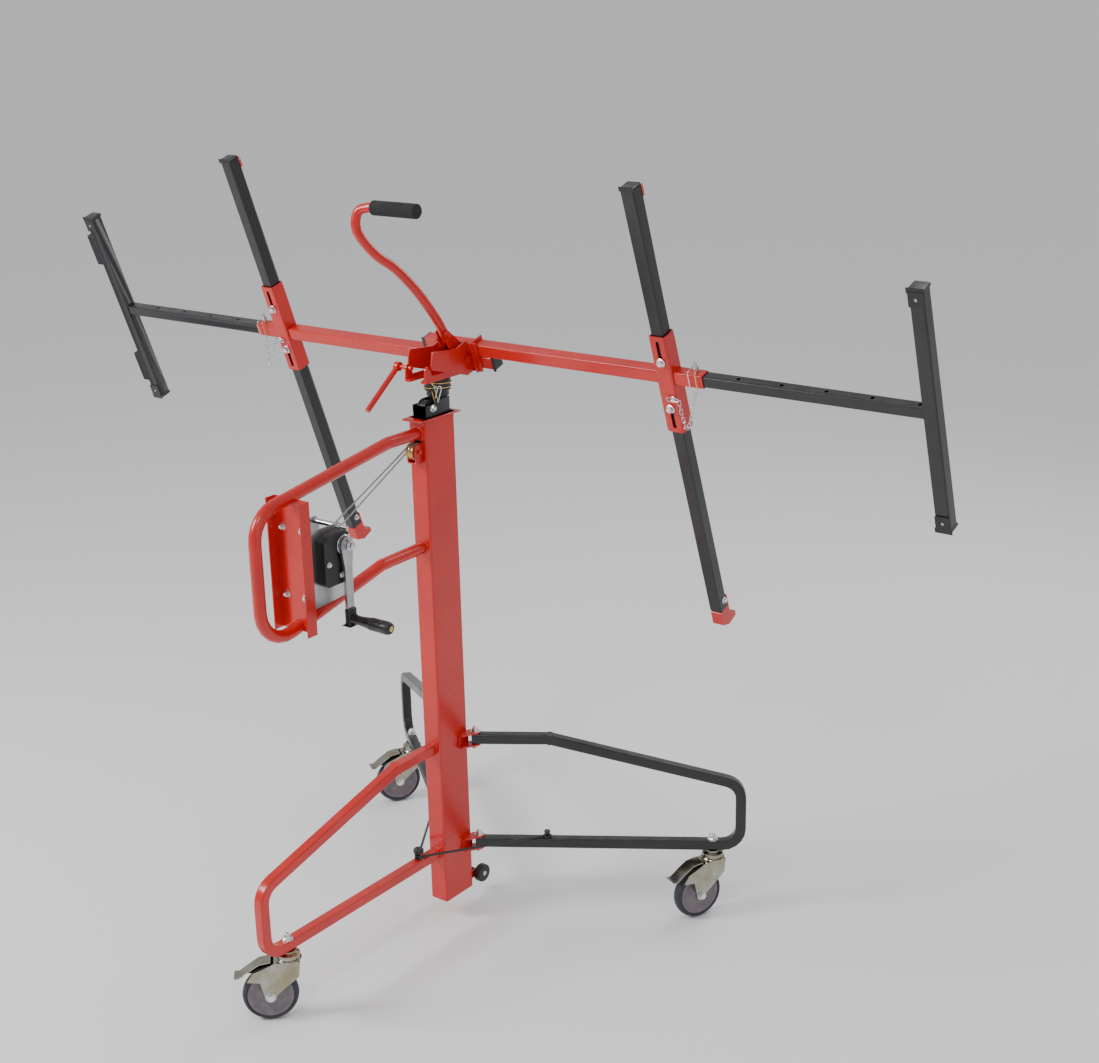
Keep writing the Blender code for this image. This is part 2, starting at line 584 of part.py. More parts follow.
def gear_outline(centre, teeth, turn):
    """Slim straight-flanked teeth that run with clearance."""
    pitch_r = GEAR_MODULE * teeth / 2
    root_r = pitch_r - 1.25 * GEAR_MODULE
    tip_r = pitch_r + 0.9 * GEAR_MODULE
    step = 2 * pi / teeth
    points = []
    for k in range(teeth):
        middle = turn + k * step
        for radius, share in ((root_r, -0.30), (tip_r, -0.10), (tip_r, 0.10), (root_r, 0.30)):
            angle = middle + share * step * (1 if radius == root_r else pitch_r / tip_r)
            points.append((centre[0] + radius * cos(angle), centre[1] + radius * sin(angle)))
    return points


def make_winch(root):
    points = winch_frame_path()
    frame = sweep(points, circle(FRAME_TUBE_R, 12), circle(FRAME_TUBE_R - FRAME_WALL, 12))
    place(frame, "winch_frame", root, "red")

    half = CHANNEL_WIDTH / 2
    web_back = CHANNEL_Y
    front = web_back - CHANNEL_THICK
    outline = [(-half, front - CHANNEL_FLANGE), (-half + CHANNEL_THICK, front - CHANNEL_FLANGE),
               (-half + CHANNEL_THICK, front), (half - CHANNEL_THICK, front),
               (half - CHANNEL_THICK, front - CHANNEL_FLANGE), (half, front - CHANNEL_FLANGE),
               (half, web_back), (-half, web_back)]
    channel = prism(outline, CHANNEL_LOW, CHANNEL_HIGH)
    cut(channel, sweep(points, circle(FRAME_TUBE_R + 1.5 * GAP, 12)))
    place(channel, "winch_channel", root, "red")

    drum_y, drum_z = drum_centre()
    back = web_back + GAP
    outer = WINCH_HALF + WINCH_PLATE
    base = box((-outer, back, WINCH_LOW), (outer, back + WINCH_PLATE, WINCH_HIGH))
    low_y, high_y = back, back + WINCH_DEPTH
    side = [(low_y, WINCH_LOW), (high_y - 0.010, WINCH_LOW + 0.006), (high_y, WINCH_LOW + 0.018),
            (high_y, WINCH_HIGH - 0.030), (high_y - 0.006, WINCH_HIGH - 0.012),
            (low_y + 0.030, WINCH_HIGH - 0.012), (low_y + 0.018, WINCH_HIGH), (low_y, WINCH_HIGH)]
    plates = [prism(side, *sorted((sign * WINCH_HALF, sign * outer)), "YZ") for sign in (-1, 1)]
    tie = rod((0.012, high_y - 0.012, WINCH_HIGH - 0.021), 0.0045, 2 * WINCH_HALF + 0.030, "X", 12)
    housing = weld(base, *plates, tie)
    bores = [rod((0, y, z), SHAFT_R + GAP, 0.2, "X") for y, z in ((drum_y, drum_z), (CRANK_Y, CRANK_Z))]
    place(cut(housing, *bores), "winch_housing", root, "zinc")

    cover_in = outer + GAP
    outline = cover_outline(0.0)
    cover = prism(outline, cover_in, cover_in + COVER_DEPTH, "YZ")
    inside = prism(cover_outline(0.0022), cover_in - 0.001, cover_in + COVER_DEPTH - 0.0022, "YZ")
    hole = rod((cover_in + COVER_DEPTH, CRANK_Y, CRANK_Z), SHAFT_R + 0.002, 0.02, "X")
    place(cut(cover, inside, hole), "winch_gear_cover", root, "plastic")

    core_in, core_out = -DRUM_FAR, DRUM_NEAR
    shaft_end = outer + 0.004
    profile = [(0, -shaft_end), (SHAFT_R, -shaft_end), (SHAFT_R, core_in - 0.0032),
               (DRUM_FLANGE_R, core_in - 0.0032), (DRUM_FLANGE_R, core_in), (DRUM_CORE_R, core_in),
               (DRUM_CORE_R, core_out), (DRUM_FLANGE_R, core_out), (DRUM_FLANGE_R, core_out + 0.003),
               (SHAFT_R, core_out + 0.003), (SHAFT_R, shaft_end), (0, shaft_end)]
    drum = turned(profile, (0, drum_y, drum_z), "X", 20)
    gear = prism(gear_outline((drum_y, drum_z), DRUM_TEETH, GEAR_ANGLE + pi), core_out + 0.002,
                 WINCH_HALF - 0.006, "YZ")
    place(weld(drum, gear), "winch_drum", root, "zinc", (0, drum_y, drum_z))

    mesh_turn = GEAR_ANGLE + pi / PINION_TEETH
    pinion = prism(gear_outline((CRANK_Y, CRANK_Z), PINION_TEETH, mesh_turn), WINCH_HALF - 0.013,
                   WINCH_HALF - 0.005, "YZ")
    spindle_end = CRANK_X - CRANK_THICK / 2 - GAP
    spindle = turned([(0, -shaft_end), (SHAFT_R, -shaft_end), (SHAFT_R, spindle_end), (0, spindle_end)],
                     (0, CRANK_Y, CRANK_Z), "X", 16)
    place(weld(spindle, pinion), "crank_shaft", root, "steel", (0, CRANK_Y, CRANK_Z))

    make_crank(root)


def cover_outline(inset):
    """The gear cover's outline round both shafts, in Y and Z."""
    drum_y, drum_z = drum_centre()
    low, high = drum_z - 0.036 + inset, CRANK_Z + 0.030 - inset
    left, right = drum_y - 0.042 + inset, CRANK_Y + 0.018 - inset
    return [(left + 0.008, low), (right - 0.024, low), (right - 0.002, low + 0.026),
            (right - 0.006, CRANK_Z - 0.022), (right, CRANK_Z - 0.010), (right, high - 0.008),
            (right - 0.010, high), (left + 0.030, high), (left, high - 0.014), (left, low + 0.008)]


def make_crank(root):
    """The crank arm hangs down from its shaft; its grip turns on the pin at the free end."""
    axis = empty("crank_axis", root, (0, CRANK_Y, CRANK_Z))
    low_x, high_x = CRANK_X - CRANK_THICK / 2, CRANK_X + CRANK_THICK / 2
    outline = arc((0, 0), 0.0185, radians(-20), radians(200), 12)
    outline += [(-0.0110, -0.050)] + arc((0, -CRANK_LENGTH), 0.0100, radians(190), radians(350), 8)
    outline += [(0.0110, -0.050)]
    arm = prism(outline, low_x, high_x, "YZ")
    boss = rod((high_x + 0.004, 0, 0), 0.0110, 0.010, "X", 20)
    grip_start = high_x + 0.006
    pin = rod((grip_start + GRIP_LENGTH / 2 - 0.004, 0, -CRANK_LENGTH), GRIP_PIN_R,
              GRIP_LENGTH + 0.012, "X", 12)
    place(weld(arm, boss, pin), "crank_arm", axis, "steel")
    bore = GRIP_PIN_R + GAP
    profile = [(bore, 0), (GRIP_R * 0.82, 0), (GRIP_R * 0.72, 0.012), (GRIP_R * 0.80, 0.035),
               (GRIP_R, GRIP_LENGTH * 2 / 3), (GRIP_R, GRIP_LENGTH - 0.010), (GRIP_R * 0.80, GRIP_LENGTH),
               (bore, GRIP_LENGTH)]
    grip = turned(profile, (grip_start, 0, -CRANK_LENGTH), "X", 16)
    place(grip, "crank_grip", axis, "plastic", (grip_start, 0, -CRANK_LENGTH))


def cable_gap_y():
    """Middle of the space between the column's front wall and the middle mast."""
    return (-(COLUMN_Y / 2 - COLUMN_WALL) + MIDDLE_FRONT) / 2


def make_cable(root):
    pulley_y = cable_gap_y() - PULLEY_GROOVE_R - CABLE_R - GAP
    centre = (0, pulley_y, PULLEY_Z)
    half = PULLEY_WIDTH / 2
    groove = PULLEY_GROOVE_R
    bore = PULLEY_BOLT_R + GAP
    profile = [(bore, -half), (PULLEY_R, -half), (PULLEY_R, -half + 0.0015), (groove, -half + 0.0028),
               (groove, -0.0024), (PULLEY_R, -0.0008), (PULLEY_R, 0.0008), (groove, 0.0024),
               (groove, half - 0.0028), (PULLEY_R, half - 0.0015), (PULLEY_R, half), (bore, half)]
    place(turned(profile, centre, "X", 20), "cable_pulley", root, "brass", centre)

    face = -(COLUMN_Y / 2 + GAP)
    inner = half + 0.0008
    outline = [(face, PULLEY_Z - 0.027), (face, PULLEY_Z + 0.0185), (pulley_y - 0.010, PULLEY_Z + 0.016),
               (pulley_y - 0.016, PULLEY_Z), (pulley_y - 0.010, PULLEY_Z - 0.026)]
    cheeks = [prism(outline, *sorted((sign * inner, sign * (inner + 0.003))), "YZ") for sign in (-1, 1)]
    bridge = box((-inner - 0.001, pulley_y - 0.012, PULLEY_Z - 0.0265),
                 (inner + 0.001, face, PULLEY_Z - 0.0235))
    bolt = rod(centre, PULLEY_BOLT_R, 2 * inner + 0.012, "X", 14)
    heads = [hex_rod((sign * (inner + 0.005), pulley_y, PULLEY_Z), 0.010, 0.005, "X") for sign in (-1, 1)]
    bracket = weld(bridge, *cheeks, bolt, *heads)
    place(bracket, "pulley_bracket", root, "red")

    drum_y, drum_z = drum_centre()
    wrap = PULLEY_GROOVE_R + CABLE_R + GAP * 3
    leave = DRUM_CORE_R + CABLE_R + CABLE_CLEAR
    for name, x, drum_x in (("lift_cable_a", CABLE_SPREAD, DRUM_NEAR - 0.010),
                            ("lift_cable_b", -CABLE_SPREAD, 0.011 - DRUM_FAR)):
        rise = atan2(PULLEY_Z - drum_z, pulley_y - drum_y)
        tangent = rise + pi / 2
        points = [Vector((drum_x, drum_y + leave * cos(tangent + a), drum_z + leave * sin(tangent + a)))
                  for a in (radians(70), radians(45), radians(20), 0.0)]
        over = [Vector((x, pulley_y + wrap * cos(a), PULLEY_Z + wrap * sin(a)))
                for a in [tangent * (1 - i / 6) for i in range(7)]]
        down = [Vector((x, cable_gap_y(), z))
                for z in (PULLEY_Z - 0.30, PULLEY_Z - 0.70, MIDDLE_FOOT + 0.030)]
        cable = sweep(points + over + down, circle(CABLE_R, 8))
        place(cable, name, root, "steel")


# ---------------------------------------------------------------- telescoping mast
def make_mast(root):
    half = MIDDLE_X / 2
    middle = empty("mast_middle_slide", root, (0, 0, 0))
    tube = rect_tube((-half, MIDDLE_FRONT, MIDDLE_FOOT), (half, MIDDLE_BACK, MIDDLE_TOP), MIDDLE_WALL)
    notch = box((-half + MIDDLE_WALL, MIDDLE_FRONT - 0.01, COLUMN_TOP - 0.012),
                (half - MIDDLE_WALL, MIDDLE_FRONT + 0.01, MIDDLE_TOP + 0.01))
    shoulder = box((-half - 0.01, MIDDLE_FRONT - 0.01, TOP_PULLEY_Z + 0.008),
                   (half + 0.01, INNER_FRONT - 0.017, MIDDLE_TOP + 0.01))
    cut(tube, notch, shoulder)
    centre = (0, TOP_PULLEY_Y, TOP_PULLEY_Z)
    bolt = rod(centre, PULLEY_BOLT_R, MIDDLE_X + 0.003, "X", 14)
    place(weld(tube, bolt), "mast_middle", middle, "black")

    width = TOP_PULLEY_WIDTH / 2
    bore = PULLEY_BOLT_R + GAP
    profile = [(bore, -width), (TOP_PULLEY_R, -width), (TOP_PULLEY_R, -width + 0.003),
               (TOP_PULLEY_R - 0.003, -width + 0.006), (TOP_PULLEY_R - 0.003, width - 0.006),
               (TOP_PULLEY_R, width - 0.003), (TOP_PULLEY_R, width), (bore, width)]
    place(turned(profile, centre, "X", 20), "mast_pulley", middle, "plastic", centre)

    inner = empty("mast_inner_slide", middle, (0, 0, 0))
    half = INNER_X / 2
    tube = rect_tube((-half, INNER_FRONT, INNER_FOOT), (half, INNER_BACK, INNER_TOP), INNER_WALL)
    place(tube, "mast_inner", inner, "black")
    axis_y = (INNER_FRONT + INNER_BACK) / 2
    bottom = INNER_TOP + GAP
    top = bottom + SOCKET_HEIGHT
    profile = [(SPIGOT_R + 2 * GAP, bottom), (SOCKET_R - 0.004, bottom), (SOCKET_R - 0.004, bottom + 0.010),
               (SOCKET_R, bottom + 0.013), (SOCKET_R, top - 0.002), (SOCKET_R - 0.002, top),
               (SPIGOT_R + 2 * GAP, top)]
    place(turned(profile, (0, axis_y, 0), "Z", 24), "head_socket", inner, "black")
    return inner, axis_y, top


# ---------------------------------------------------------------- head
def make_yoke(swivel, axis_y, socket_top):
    """Base plate, spigot, two ears and the tilt bolt; it turns in the socket."""
    base_low = socket_top + GAP
    base_high = base_low + YOKE_BASE
    front = PIVOT_Y - QUADRANT_R - 0.017
    base = box((-YOKE_HALF, front, base_low), (YOKE_HALF, PIVOT_Y + 0.004, base_high))
    spigot = rod((0, axis_y, base_low - 0.0150), SPIGOT_R, 0.0340, "Z", 18)
    lever_y, lever_z = lever_axis()
    outline = [(front, base_low), (PIVOT_Y + 0.006, base_low)]
    outline += arc((PIVOT_Y, PIVOT_Z), YOKE_EAR_R, radians(-15), radians(150), 8)
    outline += [(PIVOT_Y - 0.045, base_high + 0.008), (lever_y + 0.013, base_high + 0.008)]
    outline += arc((lever_y, lever_z), 0.0085, radians(20), radians(175), 6)
    outline += [(front, base_high + 0.006)]
    ears = [prism(outline, *sorted((sign * YOKE_HALF, sign * (YOKE_HALF - YOKE_PLATE))), "YZ")
            for sign in (-1, 1)]
    reach = YOKE_HALF + QUADRANT_CLEAR + QUADRANT_PLATE + 0.0005
    bolt = rod((0, PIVOT_Y, PIVOT_Z), TILT_BOLT_R, 2 * reach + 0.004, "X", 16)
    heads = [hex_rod((sign * (reach + 0.003), PIVOT_Y, PIVOT_Z), 0.016, 0.006, "X") for sign in (-1, 1)]
    yoke = weld(base, spigot, *ears, bolt, *heads)
    rod_hole = rod((-YOKE_HALF, lever_y, lever_z), LEVER_ROD_R + GAP, YOKE_HALF, "X")
    passage = box((-HANDLE_PASSAGE, front - 0.01, base_low - 0.01),
                  (HANDLE_PASSAGE, axis_y - SPIGOT_R - 0.002, base_high + 0.01))
    place(cut(yoke, rod_hole, passage), "yoke", swivel, "red", (0, 0, 0))


def lever_axis():
    return PIVOT_Y - QUADRANT_R - 0.0075, PIVOT_Z - 0.002


def make_lock_lever(swivel):
    lever_y, lever_z = lever_axis()
    low_x, high_x = -YOKE_HALF - 0.034, -HANDLE_PASSAGE
    cross = rod(((low_x + high_x) / 2, 0, 0), LEVER_ROD_R, high_x - low_x, "X", 14)
    end = Vector((low_x + 0.006, -LEVER_LENGTH * cos(LEVER_DROP), -LEVER_LENGTH * sin(LEVER_DROP)))
    start = Vector((low_x + 0.006, 0, 0))
    handle = sweep([start, start.lerp(end, 0.35), start.lerp(end, 0.5), end],
                   circle(0.0065, 12), None, (1, 0, 0))
    eye = rod(start, 0.0105, 0.012, "X", 18)
    pawl_x = YOKE_HALF + QUADRANT_CLEAR + QUADRANT_PLATE / 2
    pawl = block((-pawl_x, 0.0028, 0), (QUADRANT_PLATE, 0.0060, 0.0060))
    lever = weld(cross, eye, handle, pawl)
    lever.data.transform(Matrix.Translation((0, lever_y, lever_z)))
    place(lever, "lock_lever", swivel, "red", (0, lever_y, lever_z))


def beam_y(side):
    """The two beams lie one above the other; +1 is the right beam, the upper one at rest."""
    return -side * (BEAM / 2 + GAP / 2)


def make_cradle(tilt):
    """Built flat, with the board side up: local Y runs down the tilted board, local Z towards it."""
    top = BEAM_RISE - BEAM / 2 - GAP
    low = top - SADDLE_THICK
    stack = BEAM + GAP / 2
    inner = YOKE_HALF + QUADRANT_CLEAR
    outer = inner + QUADRANT_PLATE
    saddle = box((-CLAMP_X - 0.012, -stack - 0.006, low), (CLAMP_X + 0.012, stack + 0.006, top))
    start, end = radians(252), radians(233)
    outline = [(-0.040, top - 0.0005), (0.036, top - 0.0005), (0.036, -0.010)]
    outline += arc((0, 0), QUADRANT_R, start, end, 8)
    outline += [(-0.040, -0.024)]
    quadrants = [prism(outline, *sorted((sign * inner, sign * outer)), "YZ") for sign in (-1, 1)]
    clamps = []
    for sign in (-1, 1):
        clamp = block((sign * CLAMP_X, 0, BEAM_RISE - 0.002), (0.004, 2 * stack + 0.014, BEAM + 0.014))
        hole = block((sign * CLAMP_X, 0, BEAM_RISE), (0.02, 2 * stack + 2 * GAP, BEAM + 2 * GAP))
        clamps.append(cut(clamp, hole))
    foot_y, foot_z = HANDLE_POINTS[0][1], HANDLE_POINTS[0][2]
    ears = []
    for sign in (-1, 1):
        near, far = HANDLE_R + GAP, HANDLE_R + 0.004
        shape = [(-0.024, top - 0.0005), (-0.036, top - 0.0005), (foot_y - 0.030, foot_z - 0.004),
                 (foot_y - 0.028, foot_z - 0.015), (foot_y + 0.012, foot_z - 0.014), (-0.030, low - 0.010),
                 (-0.024, low)]
        ears.append(prism(shape, *sorted((sign * near, sign * far)), "YZ"))
    lug = rod((0, foot_y - 0.016, foot_z - 0.007), LUG_R, 2 * HANDLE_R + 0.018, "X", 12)
    cradle = weld(saddle, *quadrants, *clamps, *ears, lug)
    pivot_hole = rod((0, 0, 0), TILT_BOLT_R + GAP, 0.2, "X")
    place(cut(cradle, pivot_hole), "cradle", tilt, "red")


# the tilt handle's swan neck, in the cradle's flat frame
HANDLE_POINTS = [(0.000, -0.050, -0.008), (0.000, -0.085, -0.015), (-0.002, -0.125, -0.025),
                 (-0.009, -0.200, -0.050), (-0.022, -0.265, -0.078), (-0.040, -0.312, -0.106),
                 (-0.054, -0.374, -0.124), (-0.052, -0.410, -0.108), (-0.030, -0.418, -0.099),
                 (0.000, -0.419, -0.098), (0.104, -0.419, -0.098)]


def make_handle(tilt):
    path = smooth_path(HANDLE_POINTS, 3)
    handle = sweep(path, circle(HANDLE_R, 10), circle(HANDLE_R - HANDLE_WALL, 10))
    lug_hole = rod((0, HANDLE_POINTS[0][1] - 0.016, HANDLE_POINTS[0][2] - 0.007), LUG_R + GAP, 0.05, "X", 12)
    place(cut(handle, lug_hole), "tilt_handle", tilt, "red")
    end = HANDLE_POINTS[-1]
    start_x = end[0] - FOAM_LENGTH + 0.008
    inner = HANDLE_R + FOAM_CLEAR
    length = FOAM_LENGTH
    round_off = 0.75 * FOAM_WALL
    profile = [(0, length), (FOAM_R - round_off, length), (FOAM_R, length - round_off), (FOAM_R, round_off),
               (FOAM_R - round_off, 0), (inner, 0), (inner, length - 0.003), (0, length - 0.003)]
    foam = turned(profile, (0, 0, 0), "X", 18)
    foam.data.transform(Matrix.Translation((start_x, end[1], end[2])))
    place(foam, "handle_grip", tilt, "foam")


def make_side(tilt, side):
    """One beam with its sleeve, half arms, hook, extension and collar pin."""
    hand = "right" if side > 0 else "left"
    y = beam_y(side)
    half = BEAM / 2
    ends = sorted((-side * BEAM_INNER, side * BEAM_OUTER))
    beam = rect_tube((ends[0], y - half, BEAM_RISE - half), (ends[1], y + half, BEAM_RISE + half),
                     BEAM_WALL, "X")
    pin_hole = rod((side * PIN_X, y, BEAM_RISE), PIN_R + GAP, BEAM + 0.01, "Y")
    place(cut(beam, pin_hole), "beam_" + hand, tilt, "red")

    sleeve_x = side * SLEEVE_X
    h = SLEEVE / 2
    back, front = BEAM_RISE - h, BEAM_RISE + h
    sleeve = rect_tube((sleeve_x - h, -SLEEVE_HALF, back), (sleeve_x + h, SLEEVE_HALF, front),
                       SLEEVE_WALL, "Y")
    opening = BEAM + 2 * GAP
    cutters = [block((sleeve_x, y, BEAM_RISE), (SLEEVE + 0.02, opening, opening))]
    for way in (-1, 1):
        low_y, high_y = sorted((way * SLOT_AT, way * (SLOT_AT + SLOT_TRAVEL)))
        cutters.append(slot_cutter(sleeve_x, low_y, high_y, back - 0.002, back + 0.008, SLOT_R))
    place(cut(sleeve, *cutters), "sleeve_" + hand, tilt, "red")

    for way, word, reach in ((-1, "upper", ARM_UP), (1, "lower", ARM_DOWN)):
        a = ARM / 2
        low_y, high_y = sorted((way * ARM_INNER, way * reach))
        axis = empty("arm_%s_%s_slide" % (hand, word), tilt, (0, 0, 0))
        arm = rect_tube((sleeve_x - a, low_y, BEAM_RISE - a), (sleeve_x + a, high_y, BEAM_RISE + a),
                        ARM_WALL, "Y")
        bolt = rod((sleeve_x, way * SLOT_AT, BEAM_RISE - a - 0.002), ARM_BOLT_R, 0.016, "Z", 14)
        head = hex_rod((sleeve_x, way * SLOT_AT, back - 0.004), 0.012, 0.0055)
        pieces = [bolt, head]
        if word == "upper":
            pieces.append(box((sleeve_x - a, -reach, BEAM_RISE + a - 0.001),
                              (sleeve_x + a, -reach + PAD_LENGTH, PIVOT_TO_BOARD)))
        place(weld(arm, *pieces), "arm_%s_%s" % (hand, word), axis, "black")
        if word == "lower":
            make_hook(axis, hand, sleeve_x)
    make_extension(tilt, side, hand, y)

    pin = empty("collar_pin_%s_slide" % hand, tilt, (0, 0, 0))
    face = y - half
    profile = [(0, BEAM_WALL - GAP), (PIN_R, BEAM_WALL - GAP), (PIN_R, -0.0100), (PIN_R + 0.0035, -0.0100),
               (PIN_R + 0.0035, -0.0150), (PIN_R, -0.0165), (PIN_R, -0.0230), (0, -0.0230)]
    place(turned(profile, (side * PIN_X, face, BEAM_RISE), "Y", 12), "collar_pin_" + hand, pin, "zinc")


def make_hook(arm_axis, hand, x):
    """The ledge under the board's lower edge; it folds outwards on a bolt in the arm's end."""
    end = ARM_DOWN
    arm_top = BEAM_RISE + ARM / 2
    arm_back = BEAM_RISE - ARM / 2
    board = PIVOT_TO_BOARD
    lip = board + BOARD_THICK + 0.006
    outline = [(end - HOOK_OVERLAP, arm_top + GAP), (end - HOOK_OVERLAP, board - 0.0010),
               (end + 0.024, board - 0.0010), (end + 0.030, board + 0.006), (end + 0.033, lip),
               (end + 0.045, lip), (end + 0.050, arm_top - 0.006), (end + 0.038, arm_back + 0.001),
               (end + 0.006, arm_back + 0.001), (end + 0.001, arm_back + 0.007), (end + 0.001, arm_top + GAP)]
    pivot = (x, end - HOOK_OVERLAP, board - 0.0035)
    axis = empty("hook_%s_pivot" % hand, arm_axis, pivot)
    hook = prism(outline, x - ARM / 2 + 0.0005, x + ARM / 2 - 0.0005, "YZ")
    hook.data.transform(Matrix.Translation(-Vector(pivot)))
    place(hook, "hook_" + hand, axis, "red")


def make_extension(tilt, side, hand, y):
    """Tube with a T-bar at its outer end; locking holes every EXT_PITCH."""
    axis = empty("extension_%s_slide" % hand, tilt, (0, 0, 0))
    e = EXT / 2
    bar = BEAM / 2
    inner_end = side * (BEAM_OUTER - EXT_INSIDE)
    ends = sorted((inner_end, side * (TBAR_X - bar + 0.001)))
    tube = rect_tube((ends[0], y - e, BEAM_RISE - e), (ends[1], y + e, BEAM_RISE + e), EXT_WALL, "X")
    holes = []
    x = PIN_X - 3 * EXT_PITCH
    while x < TBAR_X - bar - 0.010:
        holes.append(rod((side * x, y, BEAM_RISE), EXT_HOLE_R, EXT + 0.01, "Y", 10))
        x += EXT_PITCH
    cross = rect_tube((side * TBAR_X - bar, y - TBAR_HALF, BEAM_RISE - bar),
                      (side * TBAR_X + bar, y + TBAR_HALF, BEAM_RISE + bar), ARM_WALL, "Y")
    pieces = [cross]
    if side < 0:
        pieces += [side_stop(side, y + centre) for centre in STOP_PLACES]
    place(cut(weld(tube, *pieces), *holes), "extension_" + hand, axis, "black")


def side_stop(side, centre):
    """A bent plate beyond the T-bar whose lip passes the board's end."""
    bar = BEAM / 2
    inner = side * (TBAR_X + bar - 0.001)
    outer = side * (TBAR_X + bar + STOP_OUT)
    low_z = BEAM_RISE + bar - STOP_THICK
    low_x, high_x = sorted((inner, outer))
    lip_x = sorted((outer, outer - side * STOP_THICK))
    y_low, y_high = centre - STOP_WIDTH / 2, centre + STOP_WIDTH / 2
    plate = box((low_x, y_low, low_z), (high_x, y_high, low_z + STOP_THICK))
    lip = box((lip_x[0], y_low, low_z), (lip_x[1], y_high, low_z + STOP_LIP))
    return weld(plate, lip)


def make_head(inner_mast, axis_y, socket_top):
    swivel = empty("head_swivel", inner_mast, (0, axis_y, 0))
    local = empty("head_swivel_frame", swivel, (0, -axis_y, 0))
    make_yoke(local, axis_y, socket_top)
    make_lock_lever(local)
    tilt = empty("head_tilt", local, (0, PIVOT_Y, PIVOT_Z), (-TILT, 0, 0))
    make_cradle(tilt)
    make_handle(tilt)
    for side in (-1, 1):
        make_side(tilt, side)


# ---------------------------------------------------------------- whole lift
def centre_on_footprint(root):
    """Moves the lift so that the middle of its outer box, on the floor, is the origin."""
    bpy.context.view_layer.update()
    meshes = [obj for obj in bpy.data.objects if obj.type == "MESH"]
    points = [obj.matrix_world @ v.co for obj in meshes for v in obj.data.vertices]
    low = [min(p[i] for p in points) for i in range(3)]
    high = [max(p[i] for p in points) for i in range(3)]
    root.location = (-(low[0] + high[0]) / 2, -(low[1] + high[1]) / 2, -low[2])
    bpy.context.view_layer.update()


def build():
    clear_scene()
    root = empty("lift_origin")
    make_column(root)
    for hand in ("right", "left"):
        for word, z in (("lower", LEG_LOW_Z), ("upper", LEG_HIGH_Z)):
            make_hinge_bracket(root, hand, z, "hinge_bracket_%s_%s" % (hand, word))
        make_folding_leg(root, hand)
    make_caster(root, "front", (0, -(FIXED_REACH - CASTER_INSET), 0), CASTER_TURN["front"])
    make_stay_pin(root)
    make_base_details(root)
    make_winch(root)
    make_cable(root)
    inner_mast, axis_y, socket_top = make_mast(root)
    make_head(inner_mast, axis_y, socket_top)
    centre_on_footprint(root)


build()
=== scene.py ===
import json
import math
import random

import bmesh
import bpy
from mathutils import Matrix, Vector


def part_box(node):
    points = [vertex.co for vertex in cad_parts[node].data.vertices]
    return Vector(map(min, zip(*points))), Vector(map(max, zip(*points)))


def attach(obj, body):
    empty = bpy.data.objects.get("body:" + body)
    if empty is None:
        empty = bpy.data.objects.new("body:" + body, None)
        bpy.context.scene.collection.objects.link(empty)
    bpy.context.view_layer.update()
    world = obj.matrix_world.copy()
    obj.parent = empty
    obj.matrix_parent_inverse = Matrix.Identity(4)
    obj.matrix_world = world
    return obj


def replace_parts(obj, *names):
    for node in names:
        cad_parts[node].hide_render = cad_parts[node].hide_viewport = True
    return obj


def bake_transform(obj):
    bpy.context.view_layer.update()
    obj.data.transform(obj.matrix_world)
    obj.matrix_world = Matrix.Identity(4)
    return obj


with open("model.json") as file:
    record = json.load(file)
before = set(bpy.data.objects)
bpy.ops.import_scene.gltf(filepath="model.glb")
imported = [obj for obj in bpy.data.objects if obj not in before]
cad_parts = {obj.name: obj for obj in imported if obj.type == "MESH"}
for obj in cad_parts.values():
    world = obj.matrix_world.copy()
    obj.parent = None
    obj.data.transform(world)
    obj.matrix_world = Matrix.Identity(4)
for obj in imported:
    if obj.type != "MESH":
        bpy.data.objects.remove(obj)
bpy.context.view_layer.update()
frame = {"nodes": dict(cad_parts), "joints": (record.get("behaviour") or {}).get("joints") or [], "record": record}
nodes = frame["nodes"]
joints = {joint["name"]: joint for joint in frame["joints"]}
bodyOf = {}
for body, members in frame["record"]["behaviour"]["bodies"].items():
    for member in members:
        bodyOf[member] = body
print("frame loaded:", len(nodes), "nodes")


# places taken from the frame
def pin(jointName):
    return Vector(joints[jointName]["pos_m"])


columnLow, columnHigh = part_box("column")
mastX = (columnLow.x + columnHigh.x) / 2
mastY = (columnLow.y + columnHigh.y) / 2

headSet = {"tilt": 70.9, "rise": 0.0307, "armHalf": 0.015, "sleeveHalf": 0.020}  # degrees, then metres
headPin = pin("head_tilt")
headTurn = Matrix.Rotation(math.radians(-headSet["tilt"]), 4, "X")
# the head lying flat: y down the board, z towards it
headFrame = Matrix.Translation(headPin) @ headTurn


def atMast(x, y, z):
    return Vector((mastX + x, mastY + y, z))


# camera, lights and floor
viewSet = {"dx": 2.54, "dy": -2.89, "height": 2.23, "yaw": 37.45, "pitch": 18.1, "roll": 1.35, "lens": 57.6}


def makeCamera():
    yaw = math.radians(viewSet["yaw"])
    pitch = math.radians(viewSet["pitch"])
    roll = math.radians(viewSet["roll"])
    ahead = Vector((-math.sin(yaw) * math.cos(pitch), math.cos(yaw) * math.cos(pitch), -math.sin(pitch)))
    level = Vector((math.cos(yaw), math.sin(yaw), 0))
    down = ahead.cross(level)
    right = level * math.cos(roll) + down * math.sin(roll)
    above = right.cross(ahead)
    turn = Matrix((right, above, -ahead)).transposed().to_4x4()
    lens = bpy.data.cameras.new("camera")
    lens.sensor_fit = "HORIZONTAL"
    lens.sensor_width = 36
    lens.lens = viewSet["lens"]
    camera = bpy.data.objects.new("camera", lens)
    camera.matrix_world = Matrix.Translation(atMast(viewSet["dx"], viewSet["dy"], viewSet["height"])) @ turn
    bpy.context.scene.collection.objects.link(camera)
    bpy.context.scene.camera = camera


